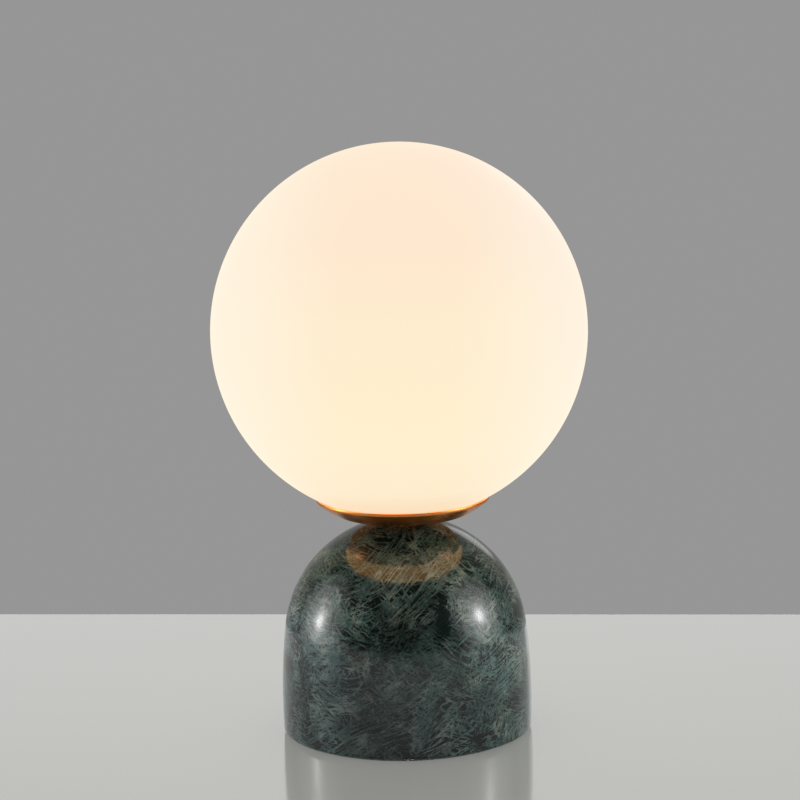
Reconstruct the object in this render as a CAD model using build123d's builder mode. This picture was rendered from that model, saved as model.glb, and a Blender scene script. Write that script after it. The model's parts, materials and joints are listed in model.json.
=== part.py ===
from build123d import *
import os
from math import atan2, cos, pi, radians, sin, sqrt, tan

os.makedirs("parts", exist_ok=True)

# A table lamp: an opal glass globe on a shallow brass dish, over a domed marble base.
# Millimetres. +Z is up, the front is -Y, and the cord's inlet is at the rear, +Y.
# The origin is on the table, under the lamp's axis.


# ---------------------------------------------------------------- driving dimensions

# Marble base: a wall that bulges slightly, running into a dome
base_radius = 67.3              # at its widest ring
base_widest_height = 18.0
wall_arc_radius = 347.0         # the bulge of the wall, seen from the side
dome_centre_height = 51.1
base_edge_radius = 2.0          # eased edge round the foot
neck_seat_radius = 13.0         # flat ground on top of the dome
recess_radius = 34.0            # hollow under the base, for the wiring
recess_depth = 26.0
rod_bore_clearance = 0.75       # the drilled hole round the threaded rod

# Pad under the base
pad_thickness = 1.0
pad_inset = 4.0                 # in from the foot's edge

# Cover plate of the recess, with its screws and the sleeves they enter
cover_plate_radius = 43.0
cover_plate_thickness = 1.5
cover_plate_clearance = 0.3
cover_screw_circle_radius = 38.6
cover_screw_count = 3
cover_screw_radius = 1.5
cover_screw_head_radius = 2.7
cover_screw_length = 7.0
insert_radius = 2.6
insert_length = 9.0

# Cord inlet at the rear: a rubber grommet in a drilled and spot-faced hole
inlet_height = 12.0
inlet_hole_radius = 5.0
cord_hole_radius = 3.4
grommet_length = 12.0
grommet_flange_radius = 6.5
grommet_flange_thickness = 1.5
grommet_clearance = 0.1
spot_face_depth = 1.8
spot_face_clearance = 0.5

# Threaded hollow rod and what is clamped on it
rod_radius = 5.0
rod_bore_radius = 3.8
rod_bottom_proud = 3.5          # thread left showing under the lowest nut
thread_clearance = 0.05
washer_bore_clearance = 0.25
nut_across_flats = 14.0
nut_height = 4.0
nut_corner_chamfer = 0.6
fibre_washer_thickness = 1.0
fibre_washer_radius = 14.0
plate_washer_thickness = 2.0
plate_washer_radius = 15.0
lock_washer_thickness = 2.2
lock_washer_radius = 8.0
lock_washer_slit = 1.2
lug_thickness = 0.8
lug_ring_radius = 8.6
lug_tab_width = 4.0
lug_barrel_start = 15.6         # from the lamp's axis
lug_barrel_length = 5.5
lug_barrel_wall = 0.6

# Neck between the dome and the dish
neck_washer_thickness = 0.8
neck_radius = 10.0
neck_height = 3.4
neck_waist_depth = 0.6          # how far the spacer is drawn in at its middle

# Brass dish, spun from sheet: a flat floor, a flared side and an upright band round the rim
dish_thickness = 0.8
cup_radius = 34.6               # the corner round the floor
dish_rim_radius = 46.4
dish_side_slope = 32.5          # degrees above level, from the floor's corner to the band
dish_side_bulge = 0.4
rim_gap = 0.3                   # between the band and the glass
cup_corner_radius = 1.0
band_corner_radius = 0.5

# Fitter: the threaded ring fixed in the dish, which the globe's collar screws on to
fitter_floor_thickness = 1.2
fitter_wall = 1.5
fitter_height = 7.0
dish_washer_thickness = 1.0
dish_washer_radius = 9.5
dish_nut_height = 3.0

# Glass globe with the threaded collar that is bonded in its mouth
globe_radius = 100.0
globe_wall = 3.0
collar_bond = 0.2
collar_wall = 2.3
collar_height = 7.1
collar_flange_overlap = 1.8     # how far the flange reaches past the mouth
collar_side_clearance = 0.6     # between the flange and the cup
collar_flange_thickness = 1.0
collar_thread_clearance = 0.2
gasket_thickness = 1.2
gasket_side_clearance = 0.4
seat_gap = 0.2                  # between the gasket and the collar
glass_edge_radius = 0.8

# Lampholder, sizes from its lowest face upwards
holder_gap = 0.5                # above the nut in the dish
holder_radius = 20.0
holder_wall = 1.8
holder_boss_radius = 8.5
holder_boss_height = 5.0
holder_shoulder_height = 12.0
holder_entry_length = 8.0       # how much of the rod is screwed in
holder_ledge_height = 13.5
holder_ledge_width = 1.2
holder_cone_step = 1.5           # flat inside the cap, wider than the boss
holder_cap_height = 22.0
holder_skirt_height = 36.0
skirt_spigot_length = 1.5
skirt_mouth_radius = 15.5
skirt_lip_thickness = 2.0
holder_joint_gap = 0.2
lock_screw_radius = 1.5
lock_screw_length = 3.2
insert_disc_thickness = 7.0
insert_side_clearance = 0.2
insert_pillar_radius = 11.0
insert_pillar_height = 3.5
screw_shell_bore = 13.6
screw_shell_sheet = 0.35
screw_shell_height = 27.0
shell_floor_hole = 6.0
centre_contact_span = 4.5
centre_contact_rise = 3.6
centre_contact_width = 5.0
centre_contact_sheet = 0.4
terminal_spacing = 18.0         # between the two terminals of the lampholder
terminal_screw_setback = 6.0
terminal_screw_radius = 1.2
terminal_screw_length = 4.5
terminal_head_radius = 2.2
terminal_head_height = 1.4
hole_clearance = 0.05

# Light bulb with a screw cap
bulb_gap = 0.2                  # between the two contacts
bulb_contact_radius = 4.6
bulb_contact_thickness = 1.4
insulator_bottom_radius = 5.0
insulator_top_radius = 10.8
insulator_height = 3.4
cap_taper_height = 1.8
cap_crest_radius = 13.2
cap_root_radius = 12.4
cap_pitch = 3.5
cap_turns = 5
cap_plain_height = 3.0
cap_sheet = 0.5
housing_spigot_length = 6.0
housing_neck_radius = 14.2
housing_neck_height = 7.0
housing_flare_height = 10.0
housing_top_radius = 21.6
housing_bore_radius = 10.5
bulb_radius = 22.5
bulb_wall = 1.2
led_board_radius = 19.2
led_board_thickness = 1.6
led_circle_radius = 12.0
led_count = 8
led_side = 2.8
led_thickness = 0.7
driver_width = 15.0
driver_height = 32.0
driver_thickness = 1.2
driver_gap = 0.3

# Wiring: a terminal block in the recess, two cores up the rod, and the earth core
wire_radius = 1.0
wire_offset = 1.6               # of each core from the rod's axis
wire_bend_radius = 3.0
wire_top_bend_radius = 1.4
earth_bend_radius = 4.0
wire_grip = 5.0                 # length of each core inside the terminal block
block_pitch = 8.0
block_poles = 3
block_end_wall = 1.0
block_depth = 16.0
block_height = 13.0
block_front = 28.0              # its front face, from the lamp's axis
block_hole_height = 6.5
block_edge_radius = 0.8
sleeve_radius = 2.5
sleeve_bore_radius = 1.5
sleeve_length = 14.0
clamp_screw_radius = 1.4
clamp_screw_well_radius = 2.0
clamp_screw_height = 4.4
clamp_screw_spacing = 7.0
clamp_screw_slot = 0.6
clamp_gap = 0.1
earth_wire_reach = 26.0         # how far the earth core swings out from the axis


# ---------------------------------------------------------------- heights and places

base_bottom = pad_thickness
cover_plate_top = base_bottom + cover_plate_thickness
recess_top = base_bottom + recess_depth

# The wall's arc and the dome's arc touch, so the dome's radius follows from their centres.
wall_centre_reach = base_radius - wall_arc_radius
centre_rise = dome_centre_height - base_widest_height
centre_distance = sqrt(wall_centre_reach**2 + centre_rise**2)
dome_radius = wall_arc_radius - centre_distance
touch_reach = wall_centre_reach * (1 - wall_arc_radius / centre_distance)
touch_height = base_widest_height + wall_arc_radius * centre_rise / centre_distance


def wall_reach(height):
    """The radius of the bulging wall at this height."""
    return wall_centre_reach + sqrt(wall_arc_radius**2 - (height - base_widest_height) ** 2)


def sphere_drop(radius, reach):
    """How far below its centre a sphere lies, at this reach from its axis."""
    return sqrt(radius**2 - reach**2)


foot_radius = wall_reach(base_bottom)
neck_seat_height = dome_centre_height + sphere_drop(dome_radius, neck_seat_radius)
inlet_face = wall_reach(inlet_height) - spot_face_depth

# Upwards from the dome
neck_bottom = neck_seat_height + neck_washer_thickness
dish_bottom = neck_bottom + neck_height
cup_floor = dish_bottom + dish_thickness
fitter_floor = cup_floor + fitter_floor_thickness
dish_nut_bottom = fitter_floor + dish_washer_thickness
holder_bottom = dish_nut_bottom + dish_nut_height + holder_gap
rod_top = holder_bottom + holder_entry_length

# Downwards from the roof of the recess
plate_washer_bottom = recess_top - fibre_washer_thickness - plate_washer_thickness
lug_bottom = plate_washer_bottom - lug_thickness
lock_washer_bottom = lug_bottom - lock_washer_thickness
base_nut_bottom = lock_washer_bottom - nut_height
rod_bottom = base_nut_bottom - rod_bottom_proud

# The globe stands on the gasket by its collar, and the collar's flange fits the cup.
cup_inside = cup_radius - dish_thickness
collar_flange_radius = cup_inside - collar_side_clearance
globe_mouth_radius = collar_flange_radius - collar_flange_overlap
collar_radius = globe_mouth_radius - collar_bond
collar_bore = collar_radius - collar_wall
collar_bottom = cup_floor + gasket_thickness + seat_gap
glass_edge = collar_bottom + collar_flange_thickness + collar_bond
globe_centre = glass_edge + sphere_drop(globe_radius, globe_mouth_radius)
fitter_radius = collar_bore - collar_thread_clearance

# Lampholder and bulb
holder_inside = holder_radius - holder_wall
insert_bottom = holder_bottom + holder_ledge_height
insert_top = insert_bottom + insert_disc_thickness
pillar_top = insert_top + insert_pillar_height
skirt_bottom = holder_bottom + holder_cap_height + holder_joint_gap
skirt_top = skirt_bottom + holder_skirt_height
bulb_bottom = pillar_top + centre_contact_rise + bulb_gap
insulator_bottom = bulb_bottom + bulb_contact_thickness
cap_bottom = insulator_bottom + insulator_height
thread_bottom = cap_bottom + cap_taper_height
thread_top = thread_bottom + cap_turns * cap_pitch
cap_top = thread_top + cap_plain_height
cap_inside = cap_root_radius - cap_sheet
housing_top = cap_top + housing_neck_height + housing_flare_height
bulb_centre = housing_top + sphere_drop(bulb_radius, housing_top_radius)

# Wiring
block_rear = block_depth - block_front
block_bottom = cover_plate_top
wire_height = block_bottom + block_hole_height
lug_barrel_height = lug_bottom + lug_thickness / 2


# ---------------------------------------------------------------- shapes used more than once


def ring(bottom, height, outer, inner):
    """A flat ring or a tube round the lamp's axis."""
    with BuildPart() as body:
        with BuildSketch(Plane.XY.offset(bottom)):
            Circle(outer)
            Circle(inner, mode=Mode.SUBTRACT)
        extrude(amount=height)
    return body


def hexagon_nut(bottom, height):
    """A nut for the threaded rod, its corners turned down at both faces."""
    with BuildPart() as body:
        with BuildSketch(Plane.XY.offset(bottom)):
            RegularPolygon(nut_across_flats / 2, 6, major_radius=False)
        extrude(amount=height)
        with BuildSketch(Plane.XZ):
            with BuildLine():
                corner = nut_across_flats / 2 / cos(pi / 6)
                inner = rod_radius + thread_clearance
                Polyline(
                    (inner, bottom),
                    (corner - nut_corner_chamfer, bottom),
                    (corner, bottom + nut_corner_chamfer),
                    (corner, bottom + height - nut_corner_chamfer),
                    (corner - nut_corner_chamfer, bottom + height),
                    (inner, bottom + height),
                    close=True,
                )
            make_face()
        revolve(axis=Axis.Z, mode=Mode.INTERSECT)
    return body


def section(points):
    """Half the section of a turned piece: a closed outline of (radius, height) points."""
    with BuildSketch(Plane.XZ) as half:
        with BuildLine():
            Polyline(*points, close=True)
        make_face()
    return half.sketch


def turned(points):
    """A turned piece, its section spun round the lamp's axis."""
    with BuildPart() as body:
        revolve(section(points), axis=Axis.Z)
    return body


def wire(points, bend_radii):
    """An insulated core along straight runs joined by bends."""
    with BuildPart() as body:
        with BuildLine() as route:
            FilletPolyline(*points, radius=bend_radii)
        with BuildSketch(Plane(origin=route.line @ 0, z_dir=route.line % 0)):
            Circle(wire_radius)
        sweep(path=route.line)
    return body


# ---------------------------------------------------------------- base

# The marble is turned and polished, drilled through for the rod, and hollowed from below.
with BuildPart() as marble_base:
    with BuildSketch(Plane.XZ):
        with BuildLine():
            Line((0, base_bottom), (foot_radius, base_bottom))
            ThreePointArc(
                (foot_radius, base_bottom),
                (base_radius, base_widest_height),
                (touch_reach, touch_height),
            )
            low_turn = atan2(touch_height - dome_centre_height, touch_reach)
            high_turn = atan2(neck_seat_height - dome_centre_height, neck_seat_radius)
            half_turn = (low_turn + high_turn) / 2
            ThreePointArc(
                (touch_reach, touch_height),
                (dome_radius * cos(half_turn), dome_centre_height + dome_radius * sin(half_turn)),
                (neck_seat_radius, neck_seat_height),
            )
            Polyline(
                (neck_seat_radius, neck_seat_height),
                (0, neck_seat_height),
                (0, base_bottom),
            )
        make_face()
    revolve(axis=Axis.Z)
    foot_edge = marble_base.edges().filter_by(GeomType.CIRCLE).sort_by(Axis.Z)[0]
    fillet(foot_edge, base_edge_radius)
    with BuildSketch(Plane.XY.offset(base_bottom)):
        Circle(cover_plate_radius + cover_plate_clearance)
    extrude(amount=cover_plate_thickness, mode=Mode.SUBTRACT)
    with BuildSketch(Plane.XY.offset(base_bottom)):
        Circle(recess_radius)
    extrude(amount=recess_depth, mode=Mode.SUBTRACT)
    with BuildSketch(Plane.XY.offset(base_bottom)):
        Circle(rod_radius + rod_bore_clearance)
    extrude(amount=neck_seat_height - base_bottom, mode=Mode.SUBTRACT)
    with BuildSketch(Plane.XY.offset(cover_plate_top)):
        with PolarLocations(cover_screw_circle_radius, cover_screw_count):
            Circle(insert_radius)
    extrude(amount=insert_length, mode=Mode.SUBTRACT)
    with BuildSketch(Plane(origin=(0, 0, inlet_height), x_dir=(1, 0, 0), z_dir=(0, 1, 0))):
        Circle(inlet_hole_radius)
    extrude(amount=base_radius, mode=Mode.SUBTRACT)
    with BuildSketch(Plane(origin=(0, inlet_face, inlet_height), x_dir=(1, 0, 0), z_dir=(0, 1, 0))):
        Circle(grommet_flange_radius + spot_face_clearance)
    extrude(amount=spot_face_depth, mode=Mode.SUBTRACT)
marble_base.part.label = "marble_base"
export_step(marble_base.part, "parts/marble_base.step")

with BuildPart() as base_pad:
    with BuildSketch():
        Circle(foot_radius - pad_inset)
    extrude(amount=pad_thickness)
base_pad.part.label = "base_pad"
export_step(base_pad.part, "parts/base_pad.step")

with BuildPart() as cover_plate:
    with BuildSketch(Plane.XY.offset(base_bottom)):
        Circle(cover_plate_radius)
    extrude(amount=cover_plate_thickness)
    with Locations(Plane(origin=(0, 0, base_bottom), x_dir=(1, 0, 0), z_dir=(0, 0, -1))):
        with PolarLocations(cover_screw_circle_radius, cover_screw_count):
            CounterSinkHole(
                cover_screw_radius + hole_clearance,
                cover_screw_head_radius + hole_clearance,
                depth=cover_plate_thickness,
            )
cover_plate.part.label = "cover_plate"
export_step(cover_plate.part, "parts/cover_plate.step")

with BuildPart() as marble_inserts:
    with BuildSketch(Plane.XY.offset(cover_plate_top)):
        with PolarLocations(cover_screw_circle_radius, cover_screw_count):
            Circle(insert_radius)
            Circle(cover_screw_radius + hole_clearance, mode=Mode.SUBTRACT)
    extrude(amount=insert_length)
marble_inserts.part.label = "marble_inserts"
export_step(marble_inserts.part, "parts/marble_inserts.step")

with BuildPart() as cover_screws:
    with BuildSketch(Plane.XY.offset(base_bottom)):
        with PolarLocations(cover_screw_circle_radius, cover_screw_count):
            Circle(cover_screw_radius)
    extrude(amount=cover_screw_length)
    head_height = cover_screw_head_radius - cover_screw_radius
    with BuildSketch(Plane.XY.offset(base_bottom)):
        with PolarLocations(cover_screw_circle_radius, cover_screw_count):
            Circle(cover_screw_head_radius)
    extrude(amount=head_height, taper=45)
cover_screws.part.label = "cover_screws"
export_step(cover_screws.part, "parts/cover_screws.step")

# The cord itself isn't part of this model: the grommet's hole is where it would enter.
with BuildPart() as cord_grommet:
    with BuildSketch(Plane(origin=(0, inlet_face, inlet_height), x_dir=(1, 0, 0), z_dir=(0, 1, 0))):
        Circle(grommet_flange_radius)
    extrude(amount=grommet_flange_thickness)
    flange_edge = cord_grommet.edges().filter_by(GeomType.CIRCLE).sort_by(Axis.Y)[-1]
    fillet(flange_edge, grommet_flange_thickness / 2)
    with BuildSketch(Plane(origin=(0, inlet_face, inlet_height), x_dir=(1, 0, 0), z_dir=(0, -1, 0))):
        Circle(inlet_hole_radius - grommet_clearance)
    extrude(amount=grommet_length - grommet_flange_thickness)
    with BuildSketch(Plane(origin=(0, 0, inlet_height), x_dir=(1, 0, 0), z_dir=(0, 1, 0))):
        Circle(cord_hole_radius)
    extrude(amount=base_radius, mode=Mode.SUBTRACT)
cord_grommet.part.label = "cord_grommet"
export_step(cord_grommet.part, "parts/cord_grommet.step")


# ---------------------------------------------------------------- rod and clamping stack

washer_bore = rod_radius + washer_bore_clearance

threaded_rod = ring(rod_bottom, rod_top - rod_bottom, rod_radius, rod_bore_radius)
threaded_rod.part.label = "threaded_rod"
export_step(threaded_rod.part, "parts/threaded_rod.step")

base_fibre_washer = ring(
    recess_top - fibre_washer_thickness, fibre_washer_thickness, fibre_washer_radius, washer_bore
)
base_fibre_washer.part.label = "base_fibre_washer"
export_step(base_fibre_washer.part, "parts/base_fibre_washer.step")

base_plate_washer = ring(plate_washer_bottom, plate_washer_thickness, plate_washer_radius, washer_bore)
base_plate_washer.part.label = "base_plate_washer"
export_step(base_plate_washer.part, "parts/base_plate_washer.step")

# Earth lug: a ring on the rod, a tab, and a barrel crimped on the earth core
with BuildPart() as earth_lug:
    with BuildSketch(Plane.XY.offset(lug_bottom)):
        Circle(lug_ring_radius)
        with Locations((lug_barrel_start / 2, 0)):
            Rectangle(lug_barrel_start + 2 * lug_barrel_wall, lug_tab_width)
        Circle(washer_bore, mode=Mode.SUBTRACT)
    extrude(amount=lug_thickness)
    with BuildSketch(Plane(origin=(lug_barrel_start, 0, lug_barrel_height), z_dir=(1, 0, 0))):
        Circle(wire_radius + lug_barrel_wall)
    extrude(amount=lug_barrel_length)
    with BuildSketch(Plane(origin=(lug_barrel_start, 0, lug_barrel_height), z_dir=(1, 0, 0))):
        Circle(wire_radius + hole_clearance)
    extrude(amount=lug_barrel_length, mode=Mode.SUBTRACT)
earth_lug.part.label = "earth_lug"
export_step(earth_lug.part, "parts/earth_lug.step")

with BuildPart() as base_lock_washer:
    with BuildSketch(Plane.XY.offset(lock_washer_bottom)):
        Circle(lock_washer_radius)
        Circle(washer_bore, mode=Mode.SUBTRACT)
        with Locations((0, lock_washer_radius)):
            Rectangle(lock_washer_slit, 2 * lock_washer_radius, mode=Mode.SUBTRACT)
    extrude(amount=lock_washer_thickness)
base_lock_washer.part.label = "base_lock_washer"
export_step(base_lock_washer.part, "parts/base_lock_washer.step")

base_nut = hexagon_nut(base_nut_bottom, nut_height)
base_nut.part.label = "base_nut"
export_step(base_nut.part, "parts/base_nut.step")

neck_washer = ring(neck_seat_height, neck_washer_thickness, neck_radius, washer_bore)
neck_washer.part.label = "neck_washer"
export_step(neck_washer.part, "parts/neck_washer.step")

with BuildPart() as neck_spacer:
    with BuildSketch(Plane.XZ):
        with BuildLine():
            Line((washer_bore, neck_bottom), (neck_radius, neck_bottom))
            ThreePointArc(
                (neck_radius, neck_bottom),
                (neck_radius - neck_waist_depth, neck_bottom + neck_height / 2),
                (neck_radius, dish_bottom),
            )
            Polyline((neck_radius, dish_bottom), (washer_bore, dish_bottom), (washer_bore, neck_bottom))
        make_face()
    revolve(axis=Axis.Z)
neck_spacer.part.label = "neck_spacer"
export_step(neck_spacer.part, "parts/neck_spacer.step")


# ---------------------------------------------------------------- dish and fitter

# The section is the sheet's under face, thickened inwards.
rim_inside = dish_rim_radius - dish_thickness
rim_top = globe_centre - sphere_drop(globe_radius + rim_gap, rim_inside)
side_run = dish_rim_radius - cup_radius
band_bottom = dish_bottom + side_run * tan(radians(dish_side_slope))
with BuildPart() as brass_dish:
    with BuildSketch(Plane.XZ):
        with BuildLine():
            Line((washer_bore, dish_bottom), (cup_radius, dish_bottom))
            SagittaArc((cup_radius, dish_bottom), (dish_rim_radius, band_bottom), -dish_side_bulge)
            Line((dish_rim_radius, band_bottom), (dish_rim_radius, rim_top))
            offset(amount=dish_thickness, side=Side.LEFT)
        make_face()
    revolve(axis=Axis.Z)
    circles = brass_dish.edges().filter_by(GeomType.CIRCLE).sort_by(Axis.Z)
    floor_corner = [edge for edge in circles if abs(edge.radius - cup_radius) < 0.01][0]
    fillet(floor_corner, cup_corner_radius)
    circles = brass_dish.edges().filter_by(GeomType.CIRCLE).sort_by(Axis.Z)
    band_corner = [edge for edge in circles if abs(edge.radius - dish_rim_radius) < 0.01][0]
    fillet(band_corner, band_corner_radius)
    rim_edges = brass_dish.edges().filter_by(GeomType.CIRCLE).sort_by(Axis.Z)[-2:]
    fillet(rim_edges, 0.4 * dish_thickness)
brass_dish.part.label = "brass_dish"
export_step(brass_dish.part, "parts/brass_dish.step")

fitter_inside = fitter_radius - fitter_wall
fitter_ring = turned(
    [
        (washer_bore, cup_floor),
        (fitter_radius, cup_floor),
        (fitter_radius, cup_floor + fitter_height),
        (fitter_inside, cup_floor + fitter_height),
        (fitter_inside, fitter_floor),
        (washer_bore, fitter_floor),
    ]
)
fitter_ring.part.label = "fitter_ring"
export_step(fitter_ring.part, "parts/fitter_ring.step")

dish_washer = ring(fitter_floor, dish_washer_thickness, dish_washer_radius, washer_bore)
dish_washer.part.label = "dish_washer"
export_step(dish_washer.part, "parts/dish_washer.step")

dish_nut = hexagon_nut(dish_nut_bottom, dish_nut_height)
dish_nut.part.label = "dish_nut"
export_step(dish_nut.part, "parts/dish_nut.step")

globe_gasket = ring(
    cup_floor,
    gasket_thickness,
    cup_inside - gasket_side_clearance,
    fitter_radius + gasket_side_clearance,
)
globe_gasket.part.label = "globe_gasket"
export_step(globe_gasket.part, "parts/globe_gasket.step")


# ---------------------------------------------------------------- globe

# Blown opal glass, open below, its mouth ground flat and eased.
globe_inside = globe_radius - globe_wall
with BuildPart() as glass_globe:
    with BuildSketch(Plane.XZ):
        with BuildLine():
            ThreePointArc(
                (globe_mouth_radius, glass_edge),
                (globe_radius, globe_centre),
                (0, globe_centre + globe_radius),
            )
            Line((0, globe_centre + globe_radius), (0, globe_centre + globe_inside))
            ThreePointArc(
                (0, globe_centre + globe_inside),
                (globe_inside, globe_centre),
                (globe_mouth_radius, globe_centre - sphere_drop(globe_inside, globe_mouth_radius)),
            )
            Line(
                (globe_mouth_radius, globe_centre - sphere_drop(globe_inside, globe_mouth_radius)),
                (globe_mouth_radius, glass_edge),
            )
        make_face()
    revolve(axis=Axis.Z)
    mouth_edges = glass_globe.edges().filter_by(GeomType.CIRCLE).sort_by(Axis.Z)[:2]
    fillet(mouth_edges, glass_edge_radius)
glass_globe.part.label = "glass_globe"
export_step(glass_globe.part, "parts/glass_globe.step")

collar_flange_top = collar_bottom + collar_flange_thickness
globe_collar = turned(
    [
        (collar_bore, collar_bottom),
        (collar_flange_radius, collar_bottom),
        (collar_flange_radius, collar_flange_top),
        (collar_radius, collar_flange_top),
        (collar_radius, collar_bottom + collar_height),
        (collar_bore, collar_bottom + collar_height),
    ]
)
globe_collar.part.label = "globe_collar"
export_step(globe_collar.part, "parts/globe_collar.step")


# ---------------------------------------------------------------- lampholder

shoulder_slope = (holder_shoulder_height - holder_boss_height) / (holder_radius - holder_boss_radius)
ledge_reach = holder_inside - holder_ledge_width
cone_reach = holder_boss_radius + holder_cone_step
cone_top = holder_bottom + holder_entry_length + (ledge_reach - cone_reach) * shoulder_slope
holder_entry_bore = rod_radius + thread_clearance

lock_screw_height = holder_bottom + holder_boss_height / 2

with BuildPart() as holder_cap:
    revolve(
        section(
            [
                (holder_entry_bore, holder_bottom),
                (holder_boss_radius, holder_bottom),
                (holder_boss_radius, holder_bottom + holder_boss_height),
                (holder_radius, holder_bottom + holder_shoulder_height),
                (holder_radius, holder_bottom + holder_cap_height),
                (holder_inside, holder_bottom + holder_cap_height),
                (holder_inside, insert_bottom),
                (ledge_reach, insert_bottom),
                (ledge_reach, cone_top),
                (cone_reach, rod_top),
                (holder_entry_bore, rod_top),
            ]
        ),
        axis=Axis.Z,
    )
    with BuildSketch(Plane(origin=(0, 0, lock_screw_height), z_dir=(1, 0, 0))):
        Circle(lock_screw_radius + hole_clearance)
    extrude(amount=holder_radius, mode=Mode.SUBTRACT)
holder_cap.part.label = "holder_cap"
export_step(holder_cap.part, "parts/holder_cap.step")

with BuildPart() as holder_lock_screw:
    with BuildSketch(Plane(origin=(holder_entry_bore, 0, lock_screw_height), z_dir=(1, 0, 0))):
        Circle(lock_screw_radius)
    extrude(amount=lock_screw_length)
    lock_screw_face = holder_lock_screw.faces().sort_by(Axis.X)[-1]
    with BuildSketch(lock_screw_face):
        Rectangle(clamp_screw_slot, 2 * lock_screw_radius)
    extrude(amount=-lock_screw_radius / 2, mode=Mode.SUBTRACT)
holder_lock_screw.part.label = "holder_lock_screw"
export_step(holder_lock_screw.part, "parts/holder_lock_screw.step")

# The insert carries the contacts. It lies on the cap's ledge, and the skirt holds it down.
terminal_places = [(side * terminal_spacing / 2, terminal_screw_setback) for side in (-1, 1)]
insert_radius_outside = holder_inside - insert_side_clearance
with BuildPart() as holder_insert:
    with BuildSketch(Plane.XY.offset(insert_bottom)):
        Circle(insert_radius_outside)
    extrude(amount=insert_disc_thickness)
    with BuildSketch(Plane.XY.offset(insert_top)):
        Circle(insert_pillar_radius)
    extrude(amount=insert_pillar_height)
    with BuildSketch(Plane.XY.offset(insert_bottom)):
        with Locations(*terminal_places):
            Circle(terminal_screw_radius + hole_clearance)
    extrude(amount=terminal_screw_length, mode=Mode.SUBTRACT)
holder_insert.part.label = "holder_insert"
export_step(holder_insert.part, "parts/holder_insert.step")

with BuildPart() as holder_terminal_screws:
    with BuildSketch(Plane.XY.offset(insert_bottom)):
        with Locations(*terminal_places):
            Circle(terminal_screw_radius)
    extrude(amount=terminal_screw_length)
    with BuildSketch(Plane.XY.offset(insert_bottom - terminal_head_height)):
        with Locations(*terminal_places):
            Circle(terminal_head_radius)
    extrude(amount=terminal_head_height)
holder_terminal_screws.part.label = "holder_terminal_screws"
export_step(holder_terminal_screws.part, "parts/holder_terminal_screws.step")

spigot_reach = holder_inside - holder_joint_gap
spigot_inside = spigot_reach - holder_ledge_width
with BuildPart() as holder_skirt:
    revolve(
        section(
            [
                (spigot_inside, insert_top + holder_joint_gap),
                (spigot_reach, insert_top + holder_joint_gap),
                (spigot_reach, skirt_bottom),
                (holder_radius, skirt_bottom),
                (holder_radius, skirt_top),
                (skirt_mouth_radius, skirt_top),
                (skirt_mouth_radius, skirt_top - skirt_lip_thickness),
                (holder_inside, skirt_top - skirt_lip_thickness),
                (holder_inside, skirt_bottom + skirt_spigot_length),
                (spigot_inside, skirt_bottom + skirt_spigot_length),
            ]
        ),
        axis=Axis.Z,
    )
    skirt_edges = holder_skirt.edges().filter_by(GeomType.CIRCLE).group_by(Axis.Z)[-1]
    fillet(skirt_edges, holder_wall / 3)
holder_skirt.part.label = "holder_skirt"
export_step(holder_skirt.part, "parts/holder_skirt.step")

holder_screw_shell = turned(
    [
        (shell_floor_hole, pillar_top),
        (screw_shell_bore + screw_shell_sheet, pillar_top),
        (screw_shell_bore + screw_shell_sheet, pillar_top + screw_shell_height),
        (screw_shell_bore, pillar_top + screw_shell_height),
        (screw_shell_bore, pillar_top + screw_shell_sheet),
        (shell_floor_hole, pillar_top + screw_shell_sheet),
    ]
)
holder_screw_shell.part.label = "holder_screw_shell"
export_step(holder_screw_shell.part, "parts/holder_screw_shell.step")

# Centre contact: an arched leaf of sprung brass
with BuildPart() as holder_centre_contact:
    with BuildSketch(Plane.XZ):
        with BuildLine():
            inner_span = centre_contact_span - centre_contact_sheet
            inner_rise = centre_contact_rise - centre_contact_sheet
            ThreePointArc(
                (-centre_contact_span, pillar_top),
                (0, pillar_top + centre_contact_rise),
                (centre_contact_span, pillar_top),
            )
            Line((centre_contact_span, pillar_top), (inner_span, pillar_top))
            ThreePointArc(
                (inner_span, pillar_top),
                (0, pillar_top + inner_rise),
                (-inner_span, pillar_top),
            )
            Line((-inner_span, pillar_top), (-centre_contact_span, pillar_top))
        make_face()
    extrude(amount=centre_contact_width / 2, both=True)
holder_centre_contact.part.label = "holder_centre_contact"
export_step(holder_centre_contact.part, "parts/holder_centre_contact.step")


# ---------------------------------------------------------------- bulb

with BuildPart() as bulb_contact:
    with BuildSketch(Plane.XY.offset(bulb_bottom)):
        Circle(bulb_contact_radius)
    extrude(amount=bulb_contact_thickness)
    fillet(bulb_contact.edges().sort_by(Axis.Z)[0], bulb_contact_thickness / 2)
bulb_contact.part.label = "bulb_contact"
export_step(bulb_contact.part, "parts/bulb_contact.step")

bulb_insulator = turned(
    [
        (0, insulator_bottom),
        (insulator_bottom_radius, insulator_bottom),
        (insulator_top_radius, cap_bottom),
        (0, cap_bottom),
    ]
)
bulb_insulator.part.label = "bulb_insulator"
export_step(bulb_insulator.part, "parts/bulb_insulator.step")

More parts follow.
